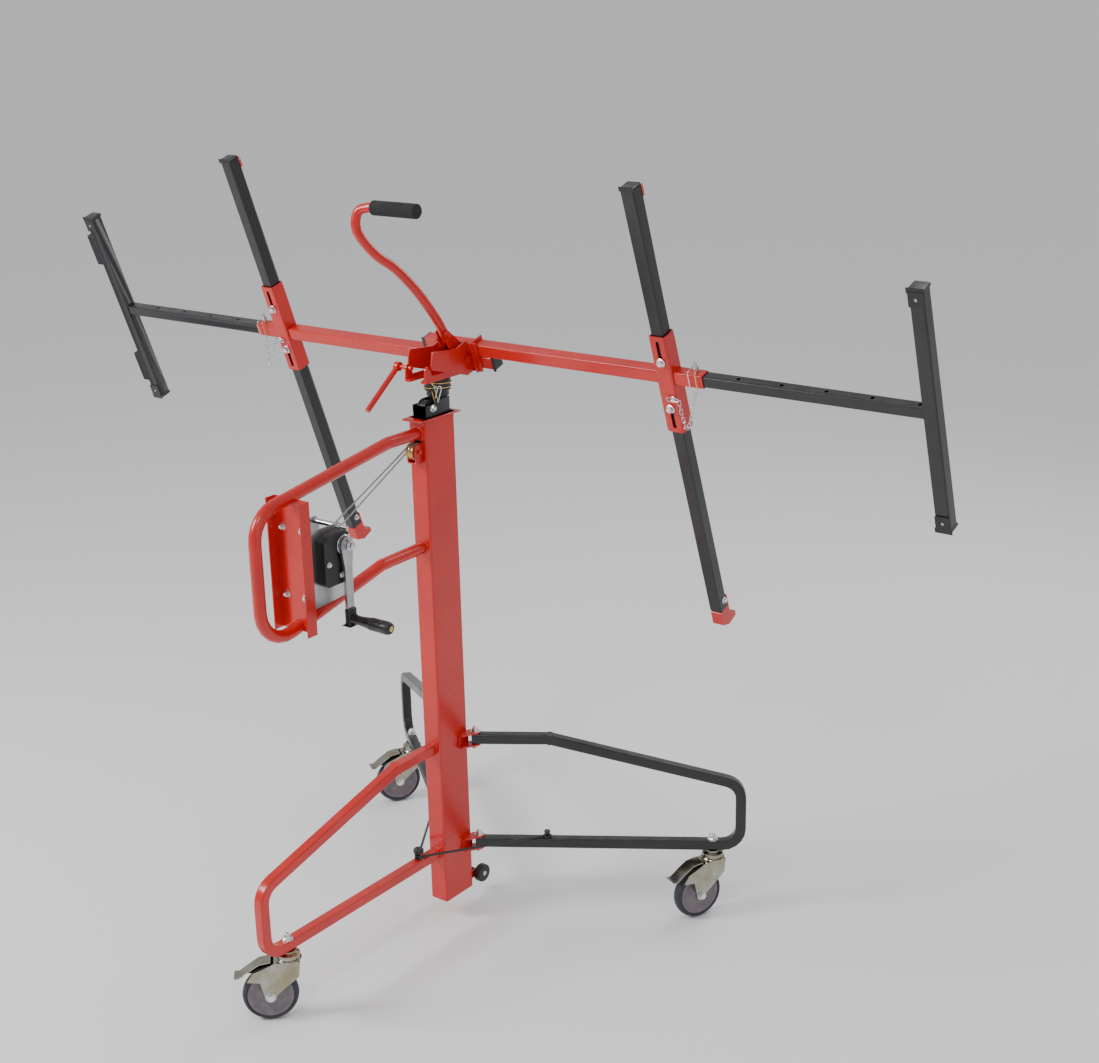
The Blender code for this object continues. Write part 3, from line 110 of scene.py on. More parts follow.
studio = {
    "key": {"at": (-2.3, -3.0, 3.3), "size": 1.5, "watts": 135, "tint": (1.0, 0.975, 0.94)},
    "fill": {"at": (3.8, -1.6, 2.0), "size": 2.6, "watts": 14, "tint": (0.93, 0.96, 1.0)},
    "rim": {"at": (0.8, 3.2, 3.0), "size": 2.2, "watts": 40, "tint": (1.0, 1.0, 1.0)},
    "strip": {"at": (1.0, -2.6, 3.9), "size": 0.6, "watts": 22, "tint": (1.0, 1.0, 1.0)},
}
room = {"sky": 0.62, "floor": (0.93, 0.93, 0.94), "aim": (0, 0, 0.85)}


def makeStudio():
    aim = atMast(*room["aim"])
    for name, lamp in studio.items():
        light = bpy.data.lights.new(name, "AREA")
        light.shape = "DISK"
        light.size = lamp["size"]
        light.energy = lamp["watts"]
        light.color = lamp["tint"]
        holder = bpy.data.objects.new(name, light)
        holder.location = atMast(*lamp["at"])
        holder.rotation_euler = (aim - holder.location).to_track_quat("-Z", "Y").to_euler()
        bpy.context.scene.collection.objects.link(holder)
    world = bpy.data.worlds.new("softRoom")
    world.use_nodes = True
    backdrop = world.node_tree.nodes["Background"]
    backdrop.inputs["Color"].default_value = (0.97, 0.98, 1.0, 1)
    backdrop.inputs["Strength"].default_value = room["sky"]
    bpy.context.scene.world = world
    bm = bmesh.new()
    bmesh.ops.create_grid(bm, x_segments=1, y_segments=1, size=150)
    floor = meshPiece("studio_floor", bm, None, None)
    paint = bpy.data.materials.new("paleFloor")
    paint.use_nodes = True
    shader = paint.node_tree.nodes["Principled BSDF"]
    grain = addNode(paint.node_tree, "ShaderNodeTexNoise", Scale=3.0, Detail=3.0)
    tone = addNode(paint.node_tree, "ShaderNodeMapRange", **{"To Min": 0.55, "To Max": 0.65})
    paint.node_tree.links.new(grain.outputs["Fac"], tone.inputs["Value"])
    paint.node_tree.links.new(tone.outputs["Result"], shader.inputs["Roughness"])
    shader.inputs["Base Color"].default_value = (*room["floor"], 1)
    floor.data.materials.append(paint)


# shader groups
def addNode(tree, kind, **values):
    made = tree.nodes.new(kind)
    for key, value in values.items():
        if key in made.inputs:
            made.inputs[key].default_value = value
        else:
            setattr(made, key, value)
    return made


def newGroup(name, inputs, outputs):
    tree = bpy.data.node_groups.new(name, "ShaderNodeTree")
    for label, value in inputs:
        socket = tree.interface.new_socket(label, in_out="INPUT", socket_type="NodeSocketFloat")
        socket.default_value = value
    for label in outputs:
        tree.interface.new_socket(label, in_out="OUTPUT", socket_type="NodeSocketFloat")
    return tree, tree.nodes.new("NodeGroupInput"), tree.nodes.new("NodeGroupOutput")


def math2(tree, operation, first, second):
    step = addNode(tree, "ShaderNodeMath", operation=operation)
    for socket, value in zip(step.inputs, (first, second)):
        if isinstance(value, (int, float)):
            socket.default_value = value
        else:
            tree.links.new(value, socket)
    return step.outputs[0]


def spread(tree, value, low, high, toLow=0.0, toHigh=1.0):
    step = addNode(tree, "ShaderNodeMapRange", **{"From Min": low, "From Max": high, "To Min": toLow,
                                                  "To Max": toHigh})
    tree.links.new(value, step.inputs["Value"])
    return step.outputs["Result"]


def noiseAt(tree, scale, detail=3.0, stretch=None, rough=0.5):
    place = addNode(tree, "ShaderNodeTexCoord")
    source = place.outputs["Object"]
    if stretch is not None:
        mapping = addNode(tree, "ShaderNodeMapping", Scale=stretch)
        tree.links.new(source, mapping.inputs["Vector"])
        source = mapping.outputs["Vector"]
    noise = addNode(tree, "ShaderNodeTexNoise", Detail=detail, Roughness=rough)
    tree.links.new(source, noise.inputs["Vector"])
    if isinstance(scale, (int, float)):
        noise.inputs["Scale"].default_value = scale
    else:
        tree.links.new(scale, noise.inputs["Scale"])
    return noise.outputs["Fac"]


# fine ripples of sprayed powder, and a slow change of tone
def makePowderGroup():
    tree, given, out = newGroup("powderSurface", [("Ripple Scale", 420), ("Tone Scale", 5)],
                                ["Height", "Tone"])
    fine = noiseAt(tree, given.outputs["Ripple Scale"], 2.0)
    broad = noiseAt(tree, given.outputs["Tone Scale"], 4.0)
    tree.links.new(fine, out.inputs["Height"])
    tree.links.new(spread(tree, broad, 0.3, 0.7), out.inputs["Tone"])
    return tree


# rubbed edges: where the rounded normal leaves the flat one, broken up by noise
def makeWearGroup():
    tree, given, out = newGroup("edgeWear", [("Radius", 0.0012), ("Amount", 0.5), ("Scale", 60)], ["Mask"])
    rounded = addNode(tree, "ShaderNodeBevel", samples=4)
    tree.links.new(given.outputs["Radius"], rounded.inputs["Radius"])
    flat = addNode(tree, "ShaderNodeNewGeometry")
    along = addNode(tree, "ShaderNodeVectorMath", operation="DOT_PRODUCT")
    tree.links.new(rounded.outputs["Normal"], along.inputs[0])
    tree.links.new(flat.outputs["Normal"], along.inputs[1])
    edge = spread(tree, along.outputs["Value"], 0.985, 0.90)
    broken = spread(tree, noiseAt(tree, given.outputs["Scale"], 5.0, rough=0.7), 0.50, 0.62)
    mask = math2(tree, "MULTIPLY", math2(tree, "MULTIPLY", edge, broken), given.outputs["Amount"])
    tree.links.new(mask, out.inputs["Mask"])
    return tree


# pale dust on what faces up
def makeDustGroup():
    tree, given, out = newGroup("settledDust", [("Amount", 0.2), ("Scale", 25)], ["Mask"])
    flat = addNode(tree, "ShaderNodeNewGeometry")
    parts = addNode(tree, "ShaderNodeSeparateXYZ")
    tree.links.new(flat.outputs["Normal"], parts.inputs[0])
    upward = spread(tree, parts.outputs["Z"], 0.35, 1.0)
    patchy = spread(tree, noiseAt(tree, given.outputs["Scale"], 6.0, rough=0.65), 0.42, 0.68)
    mask = math2(tree, "MULTIPLY", math2(tree, "MULTIPLY", upward, patchy), given.outputs["Amount"])
    tree.links.new(mask, out.inputs["Mask"])
    return tree


# drawn, rolled or turned metal: long fine lines, and cloudy plating
def makeGrainGroup():
    tree, given, out = newGroup("metalGrain", [("Line Scale", 90), ("Cloud Scale", 18)],
                                ["Lines", "Clouds"])
    lines = noiseAt(tree, given.outputs["Line Scale"], 4.0, stretch=(1.0, 1.0, 0.06))
    clouds = noiseAt(tree, given.outputs["Cloud Scale"], 5.0, rough=0.6)
    tree.links.new(lines, out.inputs["Lines"])
    tree.links.new(spread(tree, clouds, 0.32, 0.68), out.inputs["Clouds"])
    return tree


# pits and bumps of rubber, nylon or foam
def makePebbleGroup():
    tree, given, out = newGroup("pebbleSkin", [("Scale", 500), ("Softness", 0.4)], ["Height", "Speck"])
    place = addNode(tree, "ShaderNodeTexCoord")
    cells = addNode(tree, "ShaderNodeTexVoronoi", feature="SMOOTH_F1")
    tree.links.new(place.outputs["Object"], cells.inputs["Vector"])
    tree.links.new(given.outputs["Scale"], cells.inputs["Scale"])
    tree.links.new(given.outputs["Softness"], cells.inputs["Smoothness"])
    tree.links.new(cells.outputs["Distance"], out.inputs["Height"])
    tree.links.new(spread(tree, noiseAt(tree, 70.0, 4.0), 0.35, 0.7), out.inputs["Speck"])
    return tree


powderSurface = makePowderGroup()
edgeWear = makeWearGroup()
settledDust = makeDustGroup()
metalGrain = makeGrainGroup()
pebbleSkin = makePebbleGroup()


def place(tree, group, **values):
    made = tree.nodes.new("ShaderNodeGroup")
    made.node_tree = group
    for key, value in values.items():
        made.inputs[key].default_value = value
    return made


def mixColor(tree, mask, first, second):
    mix = addNode(tree, "ShaderNodeMix", data_type="RGBA")
    tree.links.new(mask, mix.inputs["Factor"])
    for socket, value in ((mix.inputs[6], first), (mix.inputs[7], second)):
        if isinstance(value, tuple):
            socket.default_value = (*value, 1)
        else:
            tree.links.new(value, socket)
    return mix.outputs[2]


def bumpFrom(tree, height, distance, strength=1.0):
    bump = addNode(tree, "ShaderNodeBump", Distance=distance, Strength=strength)
    tree.links.new(height, bump.inputs["Height"])
    return bump.outputs["Normal"]


def blank(name):
    material = bpy.data.materials.new(name)
    material.use_nodes = True
    tree = material.node_tree
    return material, tree, tree.nodes["Principled BSDF"]


# finishes
coats = {
    "redCoat": {"color": (0.62, 0.0095, 0.0042), "deep": (0.50, 0.0055, 0.0030), "rough": (0.22, 0.34),
                "coat": 0.30,
                "ripple": 0.00010, "wear": 0.30, "under": (0.33, 0.30, 0.28), "dust": 0.03},
    "blackCoat": {"color": (0.0075, 0.0082, 0.0110), "deep": (0.0040, 0.0045, 0.0060),
                  "rough": (0.28, 0.42),
                  "coat": 0.22, "ripple": 0.00014, "wear": 0.32, "under": (0.30, 0.30, 0.31), "dust": 0.05},
}
platings = {
    "zincPlate": {"color": (0.60, 0.61, 0.60), "deep": (0.40, 0.41, 0.41), "rough": (0.26, 0.42),
                  "line": 0.00006,
                  "lines": 90, "clouds": 14},
    "yellowZinc": {"color": (0.44, 0.45, 0.42), "deep": (0.30, 0.26, 0.16), "rough": (0.12, 0.26),
                   "line": 0.00003,
                   "lines": 70, "clouds": 22},
    "chrome": {"color": (0.80, 0.80, 0.81), "deep": (0.66, 0.66, 0.68), "rough": (0.08, 0.16),
               "line": 0.00001,
               "lines": 60, "clouds": 30},
    "groundSteel": {"color": (0.56, 0.57, 0.58), "deep": (0.40, 0.41, 0.42), "rough": (0.24, 0.36),
                    "line": 0.00008,
                    "lines": 160, "clouds": 20},
    "brassPlate": {"color": (0.78, 0.58, 0.24), "deep": (0.58, 0.38, 0.13), "rough": (0.18, 0.34),
                   "line": 0.00003,
                   "lines": 120, "clouds": 26},
}
skins = {
    "tyreRubber": {"color": (0.030, 0.034, 0.050), "deep": (0.018, 0.020, 0.030), "rough": (0.50, 0.72),
                   "scale": 900, "depth": 0.00015, "dust": 0.16},
    "rimNylon": {"color": (0.20, 0.165, 0.175), "deep": (0.135, 0.115, 0.135), "rough": (0.34, 0.50),
                 "scale": 1400, "depth": 0.00004, "dust": 0.14},
    "blackPlastic": {"color": (0.013, 0.013, 0.014), "deep": (0.008, 0.008, 0.009), "rough": (0.30, 0.46),
                     "scale": 1500, "depth": 0.00005, "dust": 0.10},
    "gripFoam": {"color": (0.016, 0.016, 0.017), "deep": (0.009, 0.009, 0.010), "rough": (0.78, 0.95),
                 "scale": 1100, "depth": 0.00045, "dust": 0.05},
    "greyStrip": {"color": (0.21, 0.22, 0.23), "deep": (0.15, 0.155, 0.165), "rough": (0.45, 0.60),
                  "scale": 1300, "depth": 0.00006, "dust": 0.08},
}
dustTone = (0.62, 0.58, 0.52)


def coatMaterial(name, make):
    material, tree, shader = blank(name)
    skin = place(tree, powderSurface)
    rubbed = place(tree, edgeWear, Amount=make["wear"])
    dust = place(tree, settledDust, Amount=make["dust"])
    color = mixColor(tree, skin.outputs["Tone"], make["deep"], make["color"])
    color = mixColor(tree, rubbed.outputs["Mask"], color, make["under"])
    color = mixColor(tree, dust.outputs["Mask"], color, dustTone)
    tree.links.new(color, shader.inputs["Base Color"])
    low, high = make["rough"]
    tree.links.new(spread(tree, skin.outputs["Tone"], 0.0, 1.0, high, low), shader.inputs["Roughness"])
    tree.links.new(rubbed.outputs["Mask"], shader.inputs["Metallic"])
    tree.links.new(bumpFrom(tree, skin.outputs["Height"], make["ripple"]), shader.inputs["Normal"])
    shader.inputs["Coat Weight"].default_value = make["coat"]
    shader.inputs["Coat Roughness"].default_value = 0.12
    return material


def platingMaterial(name, make):
    material, tree, shader = blank(name)
    grain = place(tree, metalGrain, **{"Line Scale": make["lines"], "Cloud Scale": make["clouds"]})
    color = mixColor(tree, grain.outputs["Clouds"], make["deep"], make["color"])
    tree.links.new(color, shader.inputs["Base Color"])
    low, high = make["rough"]
    tree.links.new(spread(tree, grain.outputs["Lines"], 0.3, 0.7, low, high), shader.inputs["Roughness"])
    tree.links.new(bumpFrom(tree, grain.outputs["Lines"], make["line"]), shader.inputs["Normal"])
    shader.inputs["Metallic"].default_value = 1.0
    return material


def skinMaterial(name, make):
    material, tree, shader = blank(name)
    pebble = place(tree, pebbleSkin, Scale=make["scale"])
    dust = place(tree, settledDust, Amount=make["dust"], Scale=60)
    color = mixColor(tree, pebble.outputs["Speck"], make["deep"], make["color"])
    color = mixColor(tree, dust.outputs["Mask"], color, dustTone)
    tree.links.new(color, shader.inputs["Base Color"])
    low, high = make["rough"]
    tree.links.new(spread(tree, pebble.outputs["Speck"], 0.0, 1.0, low, high), shader.inputs["Roughness"])
    tree.links.new(bumpFrom(tree, pebble.outputs["Height"], make["depth"]), shader.inputs["Normal"])
    return material


# stranded wire rope: slanting strands read from the cable's own length
def ropeMaterial():
    material, tree, shader = blank("wireRope")
    coords = addNode(tree, "ShaderNodeUVMap")
    strands = addNode(tree, "ShaderNodeTexWave", Scale=1.0, Distortion=0.3, bands_direction="DIAGONAL")
    tree.links.new(coords.outputs["UV"], strands.inputs["Vector"])
    color = mixColor(tree, strands.outputs["Fac"], (0.16, 0.16, 0.17), (0.58, 0.58, 0.60))
    tree.links.new(color, shader.inputs["Base Color"])
    tree.links.new(spread(tree, strands.outputs["Fac"], 0, 1, 0.55, 0.30), shader.inputs["Roughness"])
    tree.links.new(bumpFrom(tree, strands.outputs["Fac"], 0.0004), shader.inputs["Normal"])
    shader.inputs["Metallic"].default_value = 1.0
    return material


finish = {}
for name, make in coats.items():
    finish[name] = coatMaterial(name, make)
for name, make in platings.items():
    finish[name] = platingMaterial(name, make)
for name, make in skins.items():
    finish[name] = skinMaterial(name, make)
finish["wireRope"] = ropeMaterial()
print("finishes made:", len(finish))


# mesh helpers
def meshPiece(name, bm, body, coat, turn=None, smooth=38):
    bmesh.ops.recalc_face_normals(bm, faces=bm.faces)
    mesh = bpy.data.meshes.new(name)
    bm.to_mesh(mesh)
    bm.free()
    if turn is not None:
        mesh.transform(turn)
    mesh.shade_smooth()
    mesh.set_sharp_from_angle(angle=math.radians(smooth))
    piece = bpy.data.objects.new(name, mesh)
    bpy.context.scene.collection.objects.link(piece)
    if coat is not None:
        mesh.materials.append(finish[coat])
    if body is not None:
        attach(piece, body)
    return piece


def spin(bm, profile, turn=None, segments=32):
    # revolves (radius, height) points round Z; open ends close on the axis
    rings = []
    for radius, height in profile:
        count = segments if radius > 1e-7 else 1
        rings.append([bm.verts.new((radius * math.cos(2 * math.pi * k / count),
                                    radius * math.sin(2 * math.pi * k / count),
                                    height)) for k in range(count)])
    pairs = list(zip(rings, rings[1:]))
    if len(rings[0]) > 1 and len(rings[-1]) > 1:
        pairs.append((rings[-1], rings[0]))
    for first, second in pairs:
        for k in range(segments):
            n = (k + 1) % segments
            corners = (first[k % len(first)], first[n % len(first)],
                       second[n % len(second)], second[k % len(second)])
            unique = list(dict.fromkeys(corners))
            if len(unique) > 2:
                bm.faces.new(unique)
    made = [vert for ring in rings for vert in ring]
    if turn is not None:
        bmesh.ops.transform(bm, matrix=turn, verts=made)
    return made


def sweepAlong(bm, points, radius, sides=10, closed=False):
    # round wire along points, with capped ends unless it is closed
    points = [Vector(point) for point in points]
    count = len(points)
    rings = []
    across = None
    for i, point in enumerate(points):
        before = points[i - 1] if (i or closed) else point
        after = points[(i + 1) % count] if (i + 1 < count or closed) else point
        tangent = (after - before).normalized()
        if across is None:
            across = tangent.orthogonal().normalized()
        across = (across - tangent * across.dot(tangent)).normalized()
        up = tangent.cross(across)
        rings.append([bm.verts.new(point + (across * math.cos(a) + up * math.sin(a)) * radius)
                      for a in [2 * math.pi * k / sides for k in range(sides)]])
    steps = list(zip(rings, rings[1:]))
    if closed:
        first = rings[0]
        shift = min(range(sides), key=lambda s: (rings[-1][0].co - first[s].co).length)
        steps.append((rings[-1], first[shift:] + first[:shift]))
    for one, two in steps:
        for k in range(sides):
            n = (k + 1) % sides
            bm.faces.new((one[k], one[n], two[n], two[k]))
    if not closed:
        bm.faces.new(rings[0])
        bm.faces.new(rings[-1])


def plate(bm, outline, low, high, turn=None):
    bottom = [bm.verts.new((x, y, low)) for x, y in outline]
    top = [bm.verts.new((x, y, high)) for x, y in outline]
    made = [bm.faces.new(bottom), bm.faces.new(top)]
    for i in range(len(outline)):
        j = (i + 1) % len(outline)
        made.append(bm.faces.new((bottom[i], bottom[j], top[j], top[i])))
    if turn is not None:
        bmesh.ops.transform(bm, matrix=turn, verts=bottom + top)
    return made


def roundedBlock(bm, centre, size, radius, segments=2, turn=None):
    x, y, z = (s / 2 for s in size)
    made = plate(bm, [(-x, -y), (x, -y), (x, y), (-x, y)], -z, z)
    edges = list({edge for face in made for edge in face.edges})
    verts = list({vert for face in made for vert in face.verts})
    bmesh.ops.transform(bm, matrix=Matrix.Translation(centre), verts=verts)
    result = bmesh.ops.bevel(bm, geom=edges, offset=radius, segments=segments, profile=0.5, affect="EDGES")
    if turn is not None:
        touched = list({vert for face in result["faces"] for vert in face.verts} | {v for v in verts
                                                                                    if v.is_valid})
        bmesh.ops.transform(bm, matrix=turn, verts=touched)


def pointing(place, direction):
    # a frame at a point whose Z runs along a direction
    turn = Vector(direction).to_track_quat("Z", "Y").to_matrix().to_4x4()
    return Matrix.Translation(Vector(place)) @ turn


# finished copies of the frame's own parts
def faceBreadth(face):
    return face.calc_area() / max(face.calc_perimeter(), 1e-9)


def finishNode(node, coat, corner=0.0, edge=0.0005, smooth=38):
    # corner rounds a tube's long outer corners, edge takes the sharpness off everything else
    bm = bmesh.new()
    bm.from_mesh(nodes[node].data)
    bmesh.ops.remove_doubles(bm, verts=bm.verts, dist=1e-5)
    bmesh.ops.dissolve_limit(bm, angle_limit=math.radians(0.5), verts=bm.verts, edges=bm.edges)
    if corner:
        broad = [e for e in bm.edges if e.is_manifold and e.is_convex
                 and e.calc_face_angle() > math.radians(60) and e.calc_length() > 2 * corner
                 and all(faceBreadth(f) > 0.0017 for f in e.link_faces)]
        bmesh.ops.bevel(bm, geom=broad, offset=corner, segments=4, profile=0.5, affect="EDGES",
                        clamp_overlap=False)
    if edge:
        sharp = [e for e in bm.edges if e.is_manifold and e.calc_face_angle() > math.radians(42)
                 and e.calc_length() > 3 * edge]
        bmesh.ops.bevel(bm, geom=sharp, offset=edge, segments=2, profile=0.5, affect="EDGES",
                        clamp_overlap=True)
    piece = meshPiece(node + "_finished", bm, bodyOf[node], coat, smooth=smooth)
    weighted = piece.modifiers.new("flatFaces", "WEIGHTED_NORMAL")
    weighted.keep_sharp = True
    weighted.weight = 60
    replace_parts(piece, node)
    return piece


tubeCorners = {"column": 0.0045, "fixed_leg": 0.0040, "leg": 0.0040, "beam": 0.0035, "arm": 0.0035,
               "sleeve": 0.0045, "extension": 0.0035, "mast_middle": 0.0040, "mast_inner": 0.0035}
redNodes = ["column", "fixed_leg", "winch_channel", "hinge_bracket_left_upper", "hinge_bracket_left_lower",
            "hinge_bracket_right_upper", "hinge_bracket_right_lower", "roller_bracket", "pulley_bracket",
            "yoke",
            "lock_lever", "cradle", "beam_left", "beam_right", "sleeve_left", "sleeve_right", "hook_left",
            "hook_right", "winch_frame", "tilt_handle"]
blackNodes = ["leg_left", "leg_right", "stay_left", "stay_right", "mast_middle", "mast_inner",
              "head_socket",
              "arm_left_upper", "arm_left_lower", "arm_right_upper", "arm_right_lower", "extension_left",
              "extension_right"]
zincNodes = ["winch_housing", "winch_drum", "collar_pin_left", "collar_pin_right"]
steelNodes = ["crank_shaft", "crank_arm"]
plasticNodes = ["stay_pin", "winch_gear_cover", "foot_rollers", "mast_pulley"]
casters = ("front", "right", "left")


def cornerFor(node):
    for start, radius in tubeCorners.items():
        if node.startswith(start):
            return radius
    return 0.0


def finishFrame():
    groups = ((redNodes, "redCoat"), (blackNodes, "blackCoat"), (zincNodes, "zincPlate"),
              (steelNodes, "groundSteel"), (plasticNodes, "blackPlastic"), (["cable_pulley"], "brassPlate"),
              (["caster_%s_fork" % name for name in casters], "yellowZinc"),
              (["caster_%s_pedal" % name for name in casters], "yellowZinc"))
    for names, coat in groups:
        for node in names:
            finishNode(node, coat, cornerFor(node), edge=0.0004 if node == "winch_drum" else 0.0006)


makeCamera()
makeStudio()
finishFrame()
print("frame parts finished")


# caster wheels
wheelSet = {"radius": 0.0625, "half": 0.015, "rim": 0.0523, "shoulder": 0.0085, "hub": 0.0184,
            "segments": 72}
casterSet = {"axleNut": (0.0145, 0.0062, 0.0105), "axleOut": 0.0216, "stemNut": (0.0170, 0.0080, 0.0130),
             "stemTop": 0.1925}


def makeWheel(name):
    body = "caster_%s_wheel" % name
    joint = joints["caster_%s_spin" % name]
    turn = pointing(joint["pos_m"], joint["axis"])
    r, half, rim = wheelSet["radius"], wheelSet["half"], wheelSet["rim"]
    shoulder = wheelSet["shoulder"]
    bm = bmesh.new()
    crown = [(r - shoulder + shoulder * math.cos(a), half * 0.98 * math.sin(a))
             for a in [math.radians(-90 + 180 * k / 14) for k in range(15)]]
    profile = [(rim, -half * 0.90), (r - shoulder, -half)] + crown[1:-1]
    profile += [(r - shoulder, half), (rim, half * 0.90)]
    spin(bm, profile, segments=wheelSet["segments"])
    tyre = meshPiece("caster_%s_tread" % name, bm, body, "tyreRubber", turn, smooth=60)
    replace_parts(tyre, "caster_%s_tyre" % name)
    bm = bmesh.new()
    hub = wheelSet["hub"]
    side = [(0.0054, hub), (0.0105, hub), (0.0120, hub - 0.0010), (0.0126, hub - 0.0050), (0.0165, 0.0085),
            (0.0240, 0.0070), (0.0340, 0.0074), (0.0405, 0.0092), (0.0440, 0.0118), (0.0462, 0.0132),
            (0.0505, 0.0134), (0.0518, 0.0124), (0.0520, 0.0)]
    spin(bm, [(x, z) for x, z in side[:-1]] + [(x, -z) for x, z in reversed(side[:-1])],
         segments=wheelSet["segments"])
    rimPiece = meshPiece("caster_%s_disc" % name, bm, body, "rimNylon", turn, smooth=50)
    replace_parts(rimPiece, "caster_%s_rim" % name)


def hexHead(bm, turn, across, height, washer=0.0, dome=False):
    radius = across / math.sqrt(3)
    base = 0.0
    if washer:
        spin(bm, [(across * 0.3, 0), (washer, 0), (washer, 0.0010), (washer - 0.0004, 0.0014),
                  (across * 0.3, 0.0014)],
             turn, 28)
        base = 0.0012
    outline = [(radius * math.cos(math.radians(60 * k)), radius * math.sin(math.radians(60 * k)))
               for k in range(6)]
    made = plate(bm, outline, base, base + height)
    rims = [edge for edge in made[1].edges] + [edge for edge in made[0].edges]
    verts = list({vert for face in made for vert in face.verts})
    result = bmesh.ops.bevel(bm, geom=rims, offset=across * 0.07, segments=2, profile=0.6, affect="EDGES")
    touched = list({vert for face in result["faces"] for vert in face.verts} | {v for v in verts
                                                                                if v.is_valid})
    bmesh.ops.transform(bm, matrix=turn, verts=touched)
    if dome:
        ball = across * 0.44
        arc = [(ball * math.cos(a), base + height * 0.9 + ball * math.sin(a))
               for a in [math.radians(90 * k / 8) for k in range(9)]]
        spin(bm, [(0, base + height * 0.5), (ball, base + height * 0.5)] + arc[:-1] + [(0, arc[-1][1])],
             turn, 24)


def boltPiece(name, body, place, direction, across=0.013, height=0.006, washer=0.0, dome=False,
              coat="chrome"):
    bm = bmesh.new()
    hexHead(bm, pointing(place, direction), across, height, washer, dome)
    return meshPiece(name, bm, body, coat)


def makeCasterDetails(name, parentBody):
    makeWheel(name)
    fork = "caster_%s_fork" % name
    spinJoint = joints["caster_%s_spin" % name]
    axle = Vector(spinJoint["pos_m"])
    side = Vector(spinJoint["axis"])
    for sign, word in ((1, "a"), (-1, "b")):
        boltPiece("caster_%s_axle_nut_%s" % (name, word), fork, axle + side * sign * casterSet["axleOut"],
                  side * sign,
                  *casterSet["axleNut"])
    stem = Vector(joints["caster_%s_swivel" % name]["pos_m"])
    bm = bmesh.new()                                     # dust ring and ball race round the head
    race = Matrix.Translation((stem.x, stem.y, 0))
    spin(bm, [(0.0200, 0.1452), (0.0282, 0.1452), (0.0288, 0.1460), (0.0288, 0.1478), (0.0276, 0.1492),
              (0.0200, 0.1492)], race, 40)
    meshPiece("caster_%s_race" % name, bm, fork, "yellowZinc")
    top = Vector((stem.x, stem.y, casterSet["stemTop"]))
    boltPiece("caster_%s_stem_nut" % name, parentBody, top, (0, 0, 1), *casterSet["stemNut"], dome=True)


for name, parentBody in (("front", "base"), ("right", "leg_right"), ("left", "leg_left")):
    makeCasterDetails(name, parentBody)
print("casters done")

# wire, chain and cap makers shared by the details
def wirePiece(name, body, coat, points, radius, closed=False, sides=10):
    bm = bmesh.new()
    sweepAlong(bm, points, radius, sides, closed)
    return meshPiece(name, bm, body, coat, smooth=60)


def curved(points, steps=6):
    # a smooth curve through the points
    points = [Vector(point) for point in points]
    ends = [points[0] * 2 - points[1]] + points + [points[-1] * 2 - points[-2]]
    result = []
    for a, b, c, d in zip(ends, ends[1:], ends[2:], ends[3:]):
        for i in range(steps):
            t = i / steps
            result.append(0.5 * (2 * b + (c - a) * t + (2 * a - 5 * b + 4 * c - d) * t ** 2
                                 + (3 * b - a - 3 * c + d) * t ** 3))
    return result + [points[-1]]


def linkLoop(long, wide, steps=6):
    # one chain link's centre line, a stadium in its own x and y
    reach = (long - wide) / 2
    half = wide / 2
    right = [(reach + half * math.cos(a), half * math.sin(a))
             for a in [math.radians(-90 + 180 * k / steps) for k in range(steps + 1)]]
    left = [(-x, -y) for x, y in right]
    return right + left


chainSet = {"long": 0.0130, "wide": 0.0062, "wire": 0.0008, "overlap": 0.0022}


def chainAlong(bm, points):
    points = [Vector(point) for point in points]
    lengths = [(b - a).length for a, b in zip(points, points[1:])]
    pitch = chainSet["long"] - 2 * chainSet["overlap"]
    count = max(2, int(sum(lengths) / pitch))

    def along(distance):
        for a, b, step in zip(points, points[1:], lengths):
            if distance <= step:
                return a.lerp(b, distance / step), (b - a).normalized()
            distance -= step
        return points[-1], (points[-1] - points[-2]).normalized()
    for i in range(count):
        middle, heading = along((i + 0.5) * sum(lengths) / count)
        turn = heading.to_track_quat("X", "Z").to_matrix().to_4x4()
        quarter = Matrix.Rotation(math.radians(90 * (i % 2) + 45), 4, "X")
        frameHere = Matrix.Translation(middle) @ turn @ quarter
        loop = [frameHere @ Vector((x, y, 0)) for x, y in linkLoop(chainSet["long"], chainSet["wide"])]
        sweepAlong(bm, loop, chainSet["wire"], 6, closed=True)


def weldBead(name, body, loop, coat="redCoat", size=0.0022, seed=1):
    # a rippled bead of weld metal along a closed loop
    dice = random.Random(seed)
    loop = [Vector(point) for point in loop]
    fine = []
    for a, b in zip(loop, loop[1:] + loop[:1]):
        steps = max(1, int((b - a).length / 0.0018))
        fine += [a.lerp(b, k / steps) for k in range(steps)]
    bm = bmesh.new()
    rings = []
    sides = 7
    for i, point in enumerate(fine):
        tangent = (fine[(i + 1) % len(fine)] - fine[i - 1]).normalized()
        across = tangent.orthogonal().normalized()
        if rings:
            across = (lastAcross - tangent * lastAcross.dot(tangent)).normalized()
        lastAcross = across
        up = tangent.cross(across)
        swell = size * (1 + 0.16 * math.sin(i * 1.9) + dice.uniform(-0.07, 0.07))
        rings.append([bm.verts.new(point + (across * math.cos(a) + up * math.sin(a)) * swell)
                      for a in [2 * math.pi * k / sides for k in range(sides)]])
    shift = min(range(sides), key=lambda s: (rings[-1][0].co - rings[0][s].co).length)
    closing = rings[0][shift:] + rings[0][:shift]
    for one, two in list(zip(rings, rings[1:])) + [(rings[-1], closing)]:
        for k in range(sides):
            n = (k + 1) % sides
            bm.faces.new((one[k], one[n], two[n], two[k]))
    return meshPiece(name, bm, body, coat, smooth=80)


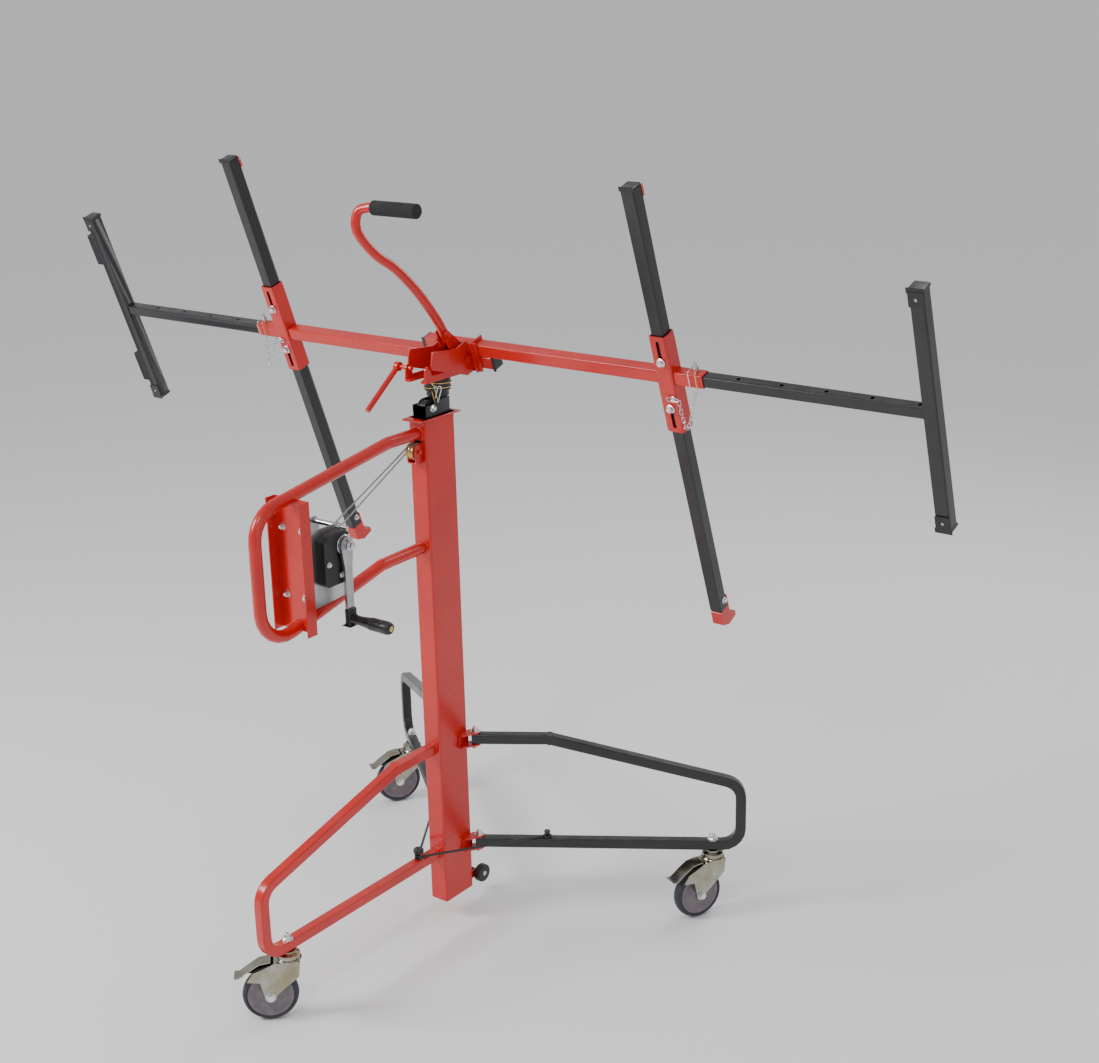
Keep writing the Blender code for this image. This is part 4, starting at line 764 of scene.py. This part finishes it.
def ringLoop(centre, normal, radius, count=24, squash=1.0):
    turn = pointing(centre, normal)
    return [turn @ Vector((radius * math.cos(a), radius * squash * math.sin(a), 0))
            for a in [2 * math.pi * k / count for k in range(count)]]


def squareLoop(centre, normal, half):
    # the outline of a square tube where it meets a wall, sides level
    turn = Vector(normal).to_track_quat("X", "Z").to_matrix().to_4x4()
    corner = 0.3 * half
    outline = [(half, -half + corner), (half, half - corner), (half - corner, half), (-half + corner, half),
               (-half, half - corner), (-half, -half + corner), (-half + corner, -half),
               (half - corner, -half)]
    return [Matrix.Translation(Vector(centre)) @ turn @ Vector((0, y, z)) for y, z in outline]


# base: bolts, beads and rollers
baseSet = {"half": 0.050, "hinge": (0.046, 0.055), "barLow": 0.180, "barHigh": 0.455, "ear": 0.0175}


def makeBaseDetails():
    front = -baseSet["half"] - 0.0004
    for word, z in (("low", baseSet["barLow"]), ("high", baseSet["barHigh"])):
        weldBead("leg_bead_" + word, "base", squareLoop(atMast(0, front, z), (0, -1, 0), 0.0130),
                 seed=int(z * 100))
    for word, z in (("low", 0.958), ("high", 1.226)):
        weldBead("frame_bead_" + word, "base", ringLoop(atMast(0, front, z), (0, -1, 0), 0.0150),
                 seed=int(z * 100))
    hingeX, hingeY = baseSet["hinge"]
    for hand, side in (("right", 1), ("left", -1)):
        for word, z in (("low", baseSet["barLow"]), ("high", baseSet["barHigh"])):
            for up, way in ((1, "top"), (-1, "under")):
                place = atMast(side * hingeX, hingeY, z + up * baseSet["ear"])
                boltPiece("hinge_%s_%s_%s" % (way, hand, word), "base", place, (0, 0, up), 0.0142, 0.0068,
                          0.0115,
                          dome=up > 0)
    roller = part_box("foot_rollers")
    middle = (roller[0] + roller[1]) / 2
    halfWidth = (roller[1].x - roller[0].x) / 2
    radius = (roller[1].z - roller[0].z) / 2
    bm = bmesh.new()
    for sign in (-1, 1):
        inner = halfWidth - 0.018
        turn = pointing(middle, (sign, 0, 0))
        spin(bm, [(0.0052, inner), (radius * 0.55, inner), (radius - 0.002, inner + 0.0006),
                  (radius, inner + 0.0030),
                  (radius, halfWidth - 0.0034), (radius - 0.0008, halfWidth - 0.0014),
                  (radius - 0.003, halfWidth - 0.0004),
                  (radius * 0.62, halfWidth - 0.0004), (radius * 0.56, halfWidth - 0.0022),
                  (0.0052, halfWidth - 0.0022)], turn, 40)
    spin(bm, [(0, -halfWidth + 0.001), (0.0050, -halfWidth + 0.001), (0.0050, halfWidth - 0.001),
              (0, halfWidth - 0.001)], pointing(middle, (1, 0, 0)), 20)
    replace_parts(meshPiece("foot_roller_pair", bm, "foot_rollers", "blackPlastic"), "foot_rollers")
    for sign, word in ((1, "a"), (-1, "b")):
        boltPiece("foot_roller_nut_" + word, "foot_rollers",
                  middle + Vector((sign * (halfWidth - 0.0026), 0, 0)),
                  (sign, 0, 0), 0.0110, 0.0030)


makeBaseDetails()
print("base details done")


# winch: crank hub, grip, rope and cover screws
winchSet = {"coreRadius": 0.024, "rope": 0.0018, "coilLow": -0.0265, "coilHigh": 0.0140, "armOut": 0.0740,
            "webFace": -0.4515, "coverOut": 0.0613}


def makeWinch():
    crank = pin("crank_turn")
    gripAt = pin("crank_grip_spin")
    axisX = Vector((1, 0, 0))
    # hub nut and brake disc beside the crank arm
    bm = bmesh.new()
    disc = pointing(Vector((mastX + 0.0620, crank.y, crank.z)), axisX)
    spin(bm, [(0.0068, 0), (0.0205, 0), (0.0212, 0.0006), (0.0212, 0.0024), (0.0205, 0.0030),
              (0.0068, 0.0030)],
         disc, 48)
    spin(bm, [(0.0066, 0.0030), (0.0120, 0.0030), (0.0120, 0.0038), (0.0066, 0.0038)], disc, 32)
    meshPiece("brake_disc", bm, "crank", "chrome")
    boltPiece("crank_hub_nut", "crank", Vector((mastX + 0.0828, crank.y, crank.z)), axisX, 0.0150, 0.0070,
              0.0100)
    for k in range(3):
        angle = math.radians(90 + 120 * k)
        spot = Vector((mastX + winchSet["armOut"], crank.y + 0.0140 * math.cos(angle),
                       crank.z + 0.0140 * math.sin(angle)))
        boltPiece("hub_screw_%d" % k, "crank", spot, axisX, 0.0050, 0.0016, coat="zincPlate")
    # plastic collar round the arm's end, with the grip standing out from it
    bm = bmesh.new()
    roundedBlock(bm, Vector((mastX + 0.0715, gripAt.y, gripAt.z + 0.0060)), (0.0165, 0.0250, 0.0390),
                 0.0050, 3)
    meshPiece("grip_collar", bm, "crank", "blackPlastic", smooth=50)
    low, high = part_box("crank_grip")
    length = high.x - low.x
    radius = (high.z - low.z) / 2
    bm = bmesh.new()
    profile = [(0.0043, 0.0), (radius * 0.80, 0.0), (radius * 0.84, 0.0020), (radius * 0.72, 0.0090),
               (radius * 0.70, 0.0170), (radius * 0.76, 0.0300), (radius * 0.88, 0.0450)]
    for k in range(5):
        at = 0.0500 + k * 0.0048
        profile += [(radius * 0.93, at), (radius * 0.97, at + 0.0010), (radius * 0.97, at + 0.0026),
                    (radius * 0.93, at + 0.0036)]
    profile += [(radius * 0.985, 0.0760), (radius, length - 0.0150), (radius * 0.97, length - 0.0070),
                (radius * 0.86, length - 0.0022), (radius * 0.70, length), (0.0043, length)]
    spin(bm, profile, pointing((low.x, gripAt.y, gripAt.z), axisX), 40)
    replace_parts(meshPiece("crank_grip_moulding", bm, "crank_grip", "blackPlastic", smooth=45), "crank_grip")
    bm = bmesh.new()
    spin(bm, [(0, 0), (0.0056, 0), (0.0056, 0.0012), (0.0042, 0.0026), (0, 0.0031)],
         pointing((high.x, gripAt.y, gripAt.z), axisX), 24)
    meshPiece("grip_rivet", bm, "crank", "brassPlate")
    # rope wound on the drum
    drum = pin("winch_drum_turn")
    wound = winchSet["coreRadius"] + winchSet["rope"] + 0.0002
    pitch = 2.1 * winchSet["rope"]
    turns = int((winchSet["coilHigh"] - winchSet["coilLow"]) / pitch)
    steps = 26
    points = [Vector((mastX + winchSet["coilLow"] + pitch * i / steps,
                      drum.y + wound * math.cos(2 * math.pi * i / steps),
                      drum.z + wound * math.sin(2 * math.pi * i / steps)))
              for i in range(turns * steps + 1)]
    ropePiece("drum_rope", "winch_drum", points)
    # cover screws and channel bolts
    cover = winchSet["coverOut"] + mastX
    for word, y, z in (("low", drum.y + 0.0060, drum.z - 0.0180),
                       ("high", drum.y - 0.0300, drum.z + 0.0140)):
        boltPiece("cover_screw_" + word, "base", Vector((cover, y, z)), axisX, 0.0085, 0.0034, 0.0062)
    web = winchSet["webFace"]
    for k, (x, z) in enumerate(((-0.030, 1.112), (0.028, 1.110), (0.026, 0.962), (-0.030, 0.962))):
        boltPiece("channel_bolt_%d" % k, "base", atMast(x, web, z), (0, -1, 0), 0.0110, 0.0050, 0.0095,
                  dome=True)
    low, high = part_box("winch_housing")
    tieY, tieZ = high.y - 0.0120, high.z - 0.0210
    bm = bmesh.new()
    spin(bm, [(0.0046, -0.033), (0.0062, -0.033), (0.0062, 0.033), (0.0046, 0.033)],
         pointing((mastX, tieY, tieZ), axisX), 24)
    meshPiece("tie_sleeve", bm, "base", "chrome")
    for sign, x in ((1, 0.0372), (-1, -0.0372)):
        boltPiece("tie_nut_%s" % ("a" if sign > 0 else "b"), "base", Vector((mastX + x, tieY, tieZ)),
                  (sign, 0, 0),
                  0.0120, 0.0050, 0.0095)
    for sign, word in ((1, "a"), (-1, "b")):            # shaft bushes in the side plates
        for place, tag in ((drum, "drum"), (crank, "crank")):
            if sign > 0 and tag == "crank":
                continue
            bm = bmesh.new()
            turn = pointing((mastX + sign * 0.0372, place.y, place.z), (sign, 0, 0))
            spin(bm, [(0.0066, 0), (0.0105, 0), (0.0105, 0.0016), (0.0096, 0.0022), (0.0066, 0.0022)],
                 turn, 32)
            meshPiece("bush_%s_%s" % (tag, word), bm, "base", "brassPlate")


def ropePiece(name, body, points, radius=0.0018, replaced=None):
    # the uv runs round the rope and along it, for the strands
    points = [Vector(point) for point in points]
    bm = bmesh.new()
    sweepAlong(bm, points, radius, 10)
    piece = meshPiece(name, bm, body, "wireRope", smooth=80)
    mesh = piece.data
    layer = mesh.uv_layers.new(name="strands")
    runs = [0.0]
    for a, b in zip(points, points[1:]):
        runs.append(runs[-1] + (b - a).length)
    sides = 10
    for poly in mesh.polygons:
        rows = [(mesh.loops[i].vertex_index // sides, mesh.loops[i].vertex_index % sides)
                for i in poly.loop_indices]
        wraps = max(column for _, column in rows) == sides - 1 and min(column for _, column in rows) == 0
        for i, (row, column) in zip(poly.loop_indices, rows):
            around = sides if wraps and column == 0 else column
            layer.data[i].uv = (runs[row] / 0.0045, 6 * around / sides)
    if replaced:
        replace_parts(piece, replaced)
    return piece


def makeRopes():
    # both falls leave the drum, go over the pulley and down inside the column
    drum = pin("winch_drum_turn")
    wheel = pin("cable_pulley_turn")
    rise = math.atan2(wheel.z - drum.z, wheel.y - drum.y) + math.pi / 2
    leave, wrap = 0.0270, 0.0192
    gapY = mastY - 0.0435
    for word, x, drumX in (("a", 0.005, 0.006), ("b", -0.005, -0.018)):
        start = [Vector((mastX + drumX, drum.y + leave * math.cos(rise + a),
                         drum.z + leave * math.sin(rise + a)))
                 for a in [math.radians(70 - 10 * k) for k in range(8)]]
        over = [Vector((mastX + x, wheel.y + wrap * math.cos(a), wheel.z + wrap * math.sin(a)))
                for a in [rise * (1 - i / 10) for i in range(11)]]
        down = [Vector((mastX + x, gapY, z)) for z in (1.14, 0.9, 0.5, 0.09)]
        ropePiece("lift_rope_" + word, "base", start + over + down, replaced="lift_cable_" + word)


makeWinch()
makeRopes()
print("winch done")


# head: pin clips, plugs, strips, caps and chains
def onHead(x, y, z):
    return headFrame @ Vector((x, y, z))


def headWay(x, y, z):
    return headTurn @ Vector((x, y, z))


armSet = {"sleeveX": 0.566, "upper": -0.440, "lower": 0.600, "slot": 0.056, "stripFrom": 0.118,
          "bar": 1.161,
          "barHalf": 0.262, "pinX": 0.635, "beamEnd": 0.095, "beamShift": 0.01515, "stripGap": 0.0265,
          "hookGap": 0.045, "slotBolt": (0.0130, 0.0072, 0.0102), "hookBolt": (0.0100, 0.0042, 0.0075),
          "pad": (0.0308, 0.0248, 0.0068), "padMiddle": 0.0120, "padLift": 0.0031}
stripSet = {"half": 0.0100, "thick": 0.0056, "ribs": 5}
socketSet = {"drops": (0.0085, 0.0210), "ringWire": 0.0013, "linkWire": 0.0011, "linkLong": 0.0420,
             "linkWide": 0.0100}


def capPiece(name, body, coat, x, y, z, normal, size=0.030, thick=0.005, lip=0.0006):
    # a plug's visible flange on the end of a square tube
    bm = bmesh.new()
    depth = thick
    dims = [size + 2 * lip] * 3
    axis = max(range(3), key=lambda i: abs(normal[i]))
    dims[axis] = depth
    middle = Vector((x, y, z)) + Vector(normal) * (depth / 2 + 0.0002)
    roundedBlock(bm, middle, dims, 0.0022, 3, headFrame)
    return meshPiece(name, bm, body, coat, smooth=50)


def makeStrip(name, body, x, low, high):
    # ribbed strip the board lies on
    top = headSet["rise"] + headSet["armHalf"]
    half, thick, ribs = stripSet["half"], stripSet["thick"], stripSet["ribs"]
    outline = [(x - half, top + 0.0001)]
    for k in range(ribs):
        left = x - half + 2 * half * k / ribs
        outline += [(left + 0.0002, top + thick - 0.0012), (left + 0.0010, top + thick),
                    (left + 2 * half / ribs - 0.0010, top + thick),
                    (left + 2 * half / ribs - 0.0002, top + thick - 0.0012)]
    outline.append((x + half, top + 0.0001))
    bm = bmesh.new()
    # outline in x and z, run along y
    stand = Matrix(((1, 0, 0, 0), (0, 0, 1, 0), (0, 1, 0, 0), (0, 0, 0, 1)))
    plate(bm, outline, low, high, headFrame @ stand)
    return meshPiece(name, bm, body, "greyStrip", smooth=30)


def makeArmDetails(hand, side):
    x = side * armSet["sleeveX"]
    back = headSet["rise"] - headSet["sleeveHalf"]
    for word, way, end in (("upper", -1, armSet["upper"]), ("lower", 1, armSet["lower"])):
        body = "arm_%s_%s" % (hand, word)
        boltPiece("slot_bolt_%s_%s" % (hand, word), body, onHead(x, way * armSet["slot"], back - 0.0010),
                  headWay(0, 0, -1), *armSet["slotBolt"])
        low, high = sorted((way * armSet["stripFrom"], end - way * armSet["stripGap"]))
        if word == "lower":
            low, high = armSet["stripFrom"], end - armSet["hookGap"]
        makeStrip("strip_%s_%s" % (hand, word), body, x, low, high)
    capPiece("arm_tip_" + hand, "arm_%s_upper" % hand, "blackPlastic", x, armSet["upper"], headSet["rise"],
             (0, -1, 0),
             thick=0.006)
    bm = bmesh.new()
    top = headSet["rise"] + headSet["armHalf"]
    middle = Vector((x, armSet["upper"] + armSet["padMiddle"], top + armSet["padLift"]))
    roundedBlock(bm, middle, armSet["pad"], 0.0008, 2, headFrame)
    meshPiece("arm_pad_" + hand, bm, "arm_%s_upper" % hand, "redCoat", smooth=50)
    for sign, word in ((1, "a"), (-1, "b")):
        boltPiece("hook_bolt_%s_%s" % (hand, word), "arm_%s_lower" % hand,
                  onHead(x + sign * headSet["armHalf"], armSet["lower"] - 0.022, headSet["rise"] + 0.004),
                  headWay(sign, 0, 0), *armSet["hookBolt"], dome=True)


def makeChainSet(hand, side):
    # a tether from a screw on the sleeve to the bail of the pin in the beam's collar
    y = -side * armSet["beamShift"]
    back = headSet["rise"] - headSet["armHalf"]
    pinBody = "collar_pin_" + hand
    x = side * armSet["pinX"]
    top = y - 0.015
    for k, dx in enumerate((-0.0085, 0.0085)):
        bail = [onHead(x, top - 0.0125, headSet["rise"]),
                onHead(x + dx * 0.7, top - 0.0135, headSet["rise"] - 0.008),
                onHead(x + dx, top - 0.0080, back - 0.0040), onHead(x + dx, top + 0.0100, back - 0.0052),
                onHead(x + dx, y + 0.0120, back - 0.0050), onHead(x + dx * 0.6, y + 0.0235, back - 0.0040),
                onHead(x, y + 0.0270, back - 0.0030)]
        wirePiece("pin_bail_%s_%d" % (hand, k), pinBody, "brassPlate" if k else "chrome", curved(bail, 5),
                  0.0011)
    sleeveX = side * armSet["sleeveX"]
    sleeveBack = headSet["rise"] - headSet["sleeveHalf"]
    eye = (sleeveX + side * 0.0120, 0.0300, sleeveBack)
    bm = bmesh.new()
    hexHead(bm, pointing(onHead(*eye), headWay(0, 0, -1)), 0.0080, 0.0030, 0.0060)
    loop = [onHead(eye[0] + dx, eye[1] + dy, eye[2] - 0.0045)
            for dx, dy in linkLoop(0.0300, 0.0085, 8)]
    sweepAlong(bm, loop, 0.0012, 8, closed=True)
    meshPiece("tether_link_" + hand, bm, "cradle", "chrome")
    start = onHead(eye[0] + side * 0.0150, eye[1] + 0.0020, eye[2] - 0.0045)
    end = onHead(x, y + 0.0290, back - 0.0030)
    low = (start + end) / 2 + Vector((side * 0.004, -0.004, -0.062))
    path = curved([start, start.lerp(low, 0.55) + Vector((0, 0, -0.010)), low,
                   end.lerp(low, 0.5) + Vector((0, 0, -0.008)),
                   end], 8)
    bm = bmesh.new()
    chainAlong(bm, path)
    chain = meshPiece("tether_chain_" + hand, bm, None, "chrome", smooth=80)
    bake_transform(chain)


def makeExtensionDetails(hand, side):
    body = "extension_" + hand
    y = -side * armSet["beamShift"]
    x = side * armSet["bar"]
    z = headSet["rise"]
    for way, word in ((-1, "upper"), (1, "lower")):
        end = y + way * armSet["barHalf"]
        capPiece("bar_cap_%s_%s" % (hand, word), body, "blackPlastic", x, end, z, (0, way, 0), thick=0.008,
                 lip=0.0016)
        bm = bmesh.new()
        roundedBlock(bm, Vector((x, end - way * 0.0140, z - 0.0158)), (0.0300, 0.0300, 0.0030), 0.0012, 2,
                     headFrame)
        meshPiece("bar_cap_skirt_%s_%s" % (hand, word), bm, body, "blackPlastic", smooth=50)
        bm = bmesh.new()
        rivet = pointing(onHead(x, end - way * 0.0140, z - 0.0172), headWay(0, 0, -1))
        spin(bm, [(0, 0), (0.0034, 0), (0.0032, 0.0010), (0.0018, 0.0018), (0, 0.0020)], rivet, 20)
        meshPiece("bar_rivet_%s_%s" % (hand, word), bm, body, "zincPlate")
    joint = onHead(side * (armSet["bar"] - 0.0152), y, z)
    weldBead("bar_bead_" + hand, body, squareLoopHead(joint), "blackCoat", 0.0018, seed=side + 5)
    capPiece("beam_plug_" + hand, "cradle", "blackPlastic", -side * armSet["beamEnd"], y, z, (-side, 0, 0),
             thick=0.004)


def squareLoopHead(centre, half=0.0130):
    corner = 0.3 * half
    outline = [(half, -half + corner), (half, half - corner), (half - corner, half), (-half + corner, half),
               (-half, half - corner), (-half, -half + corner), (-half + corner, -half),
               (half - corner, -half)]
    return [centre + headWay(0, y, z) for y, z in outline]


def makeSocketClips():
    # two brass spring rings round the head socket, and the long link that hangs beside it
    socketLow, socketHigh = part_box("head_socket")
    middle = (socketLow + socketHigh) / 2
    ringRadius = (socketHigh.x - socketLow.x) / 2 + 0.0012
    for k, drop in enumerate(socketSet["drops"]):
        level = Vector((middle.x, middle.y, socketHigh.z - drop))
        loop = ringLoop(level, (0.04 * (1 - 2 * k), 0.03, 1), ringRadius, 40)
        wirePiece("socket_ring_%d" % k, "mast_inner", "brassPlate", loop, socketSet["ringWire"],
                  closed=True)
    side = Vector((middle.x + 0.018, middle.y - ringRadius * 0.86, socketHigh.z - 0.0150))
    bm = bmesh.new()
    spin(bm, [(0, 0), (0.0042, 0), (0.0042, 0.0060), (0.0030, 0.0075), (0, 0.0078)],
         pointing(side, (0.5, -1, 0)), 20)
    meshPiece("socket_pin", bm, "mast_inner", "zincPlate")
    for k, (dx, tilt) in enumerate(((0.0230, 0.35), (0.0120, -0.25))):
        top = Vector((middle.x + dx, middle.y - ringRadius * 0.80, socketHigh.z - 0.0120))
        turn = Matrix.Translation(top + Vector((0.002, -0.003, -0.0200))) @ Matrix.Rotation(tilt, 4, "Y")
        loop = [turn @ Vector((y, 0, x)) for x, y in linkLoop(socketSet["linkLong"], socketSet["linkWide"],
                                                              8)]
        wirePiece("socket_link_%d" % k, "mast_inner", "chrome" if k == 0 else "brassPlate", loop,
                  socketSet["linkWire"], closed=True)
    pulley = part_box("mast_pulley")
    centre = (pulley[0] + pulley[1]) / 2
    for sign, word in ((1, "a"), (-1, "b")):
        boltPiece("mast_bolt_" + word, "mast_middle", Vector((mastX + sign * 0.0202, centre.y, centre.z)),
                  (sign, 0, 0),
                  0.0118, 0.0046, 0.0088, dome=True)


def makeHead():
    for hand, side in (("right", 1), ("left", -1)):
        makeArmDetails(hand, side)
        makeChainSet(hand, side)
        makeExtensionDetails(hand, side)
    makeSocketClips()
    # foam sleeve on the tilt handle
    finishNode("handle_grip", "gripFoam", edge=0.0, smooth=60)


makeHead()
print("head done")
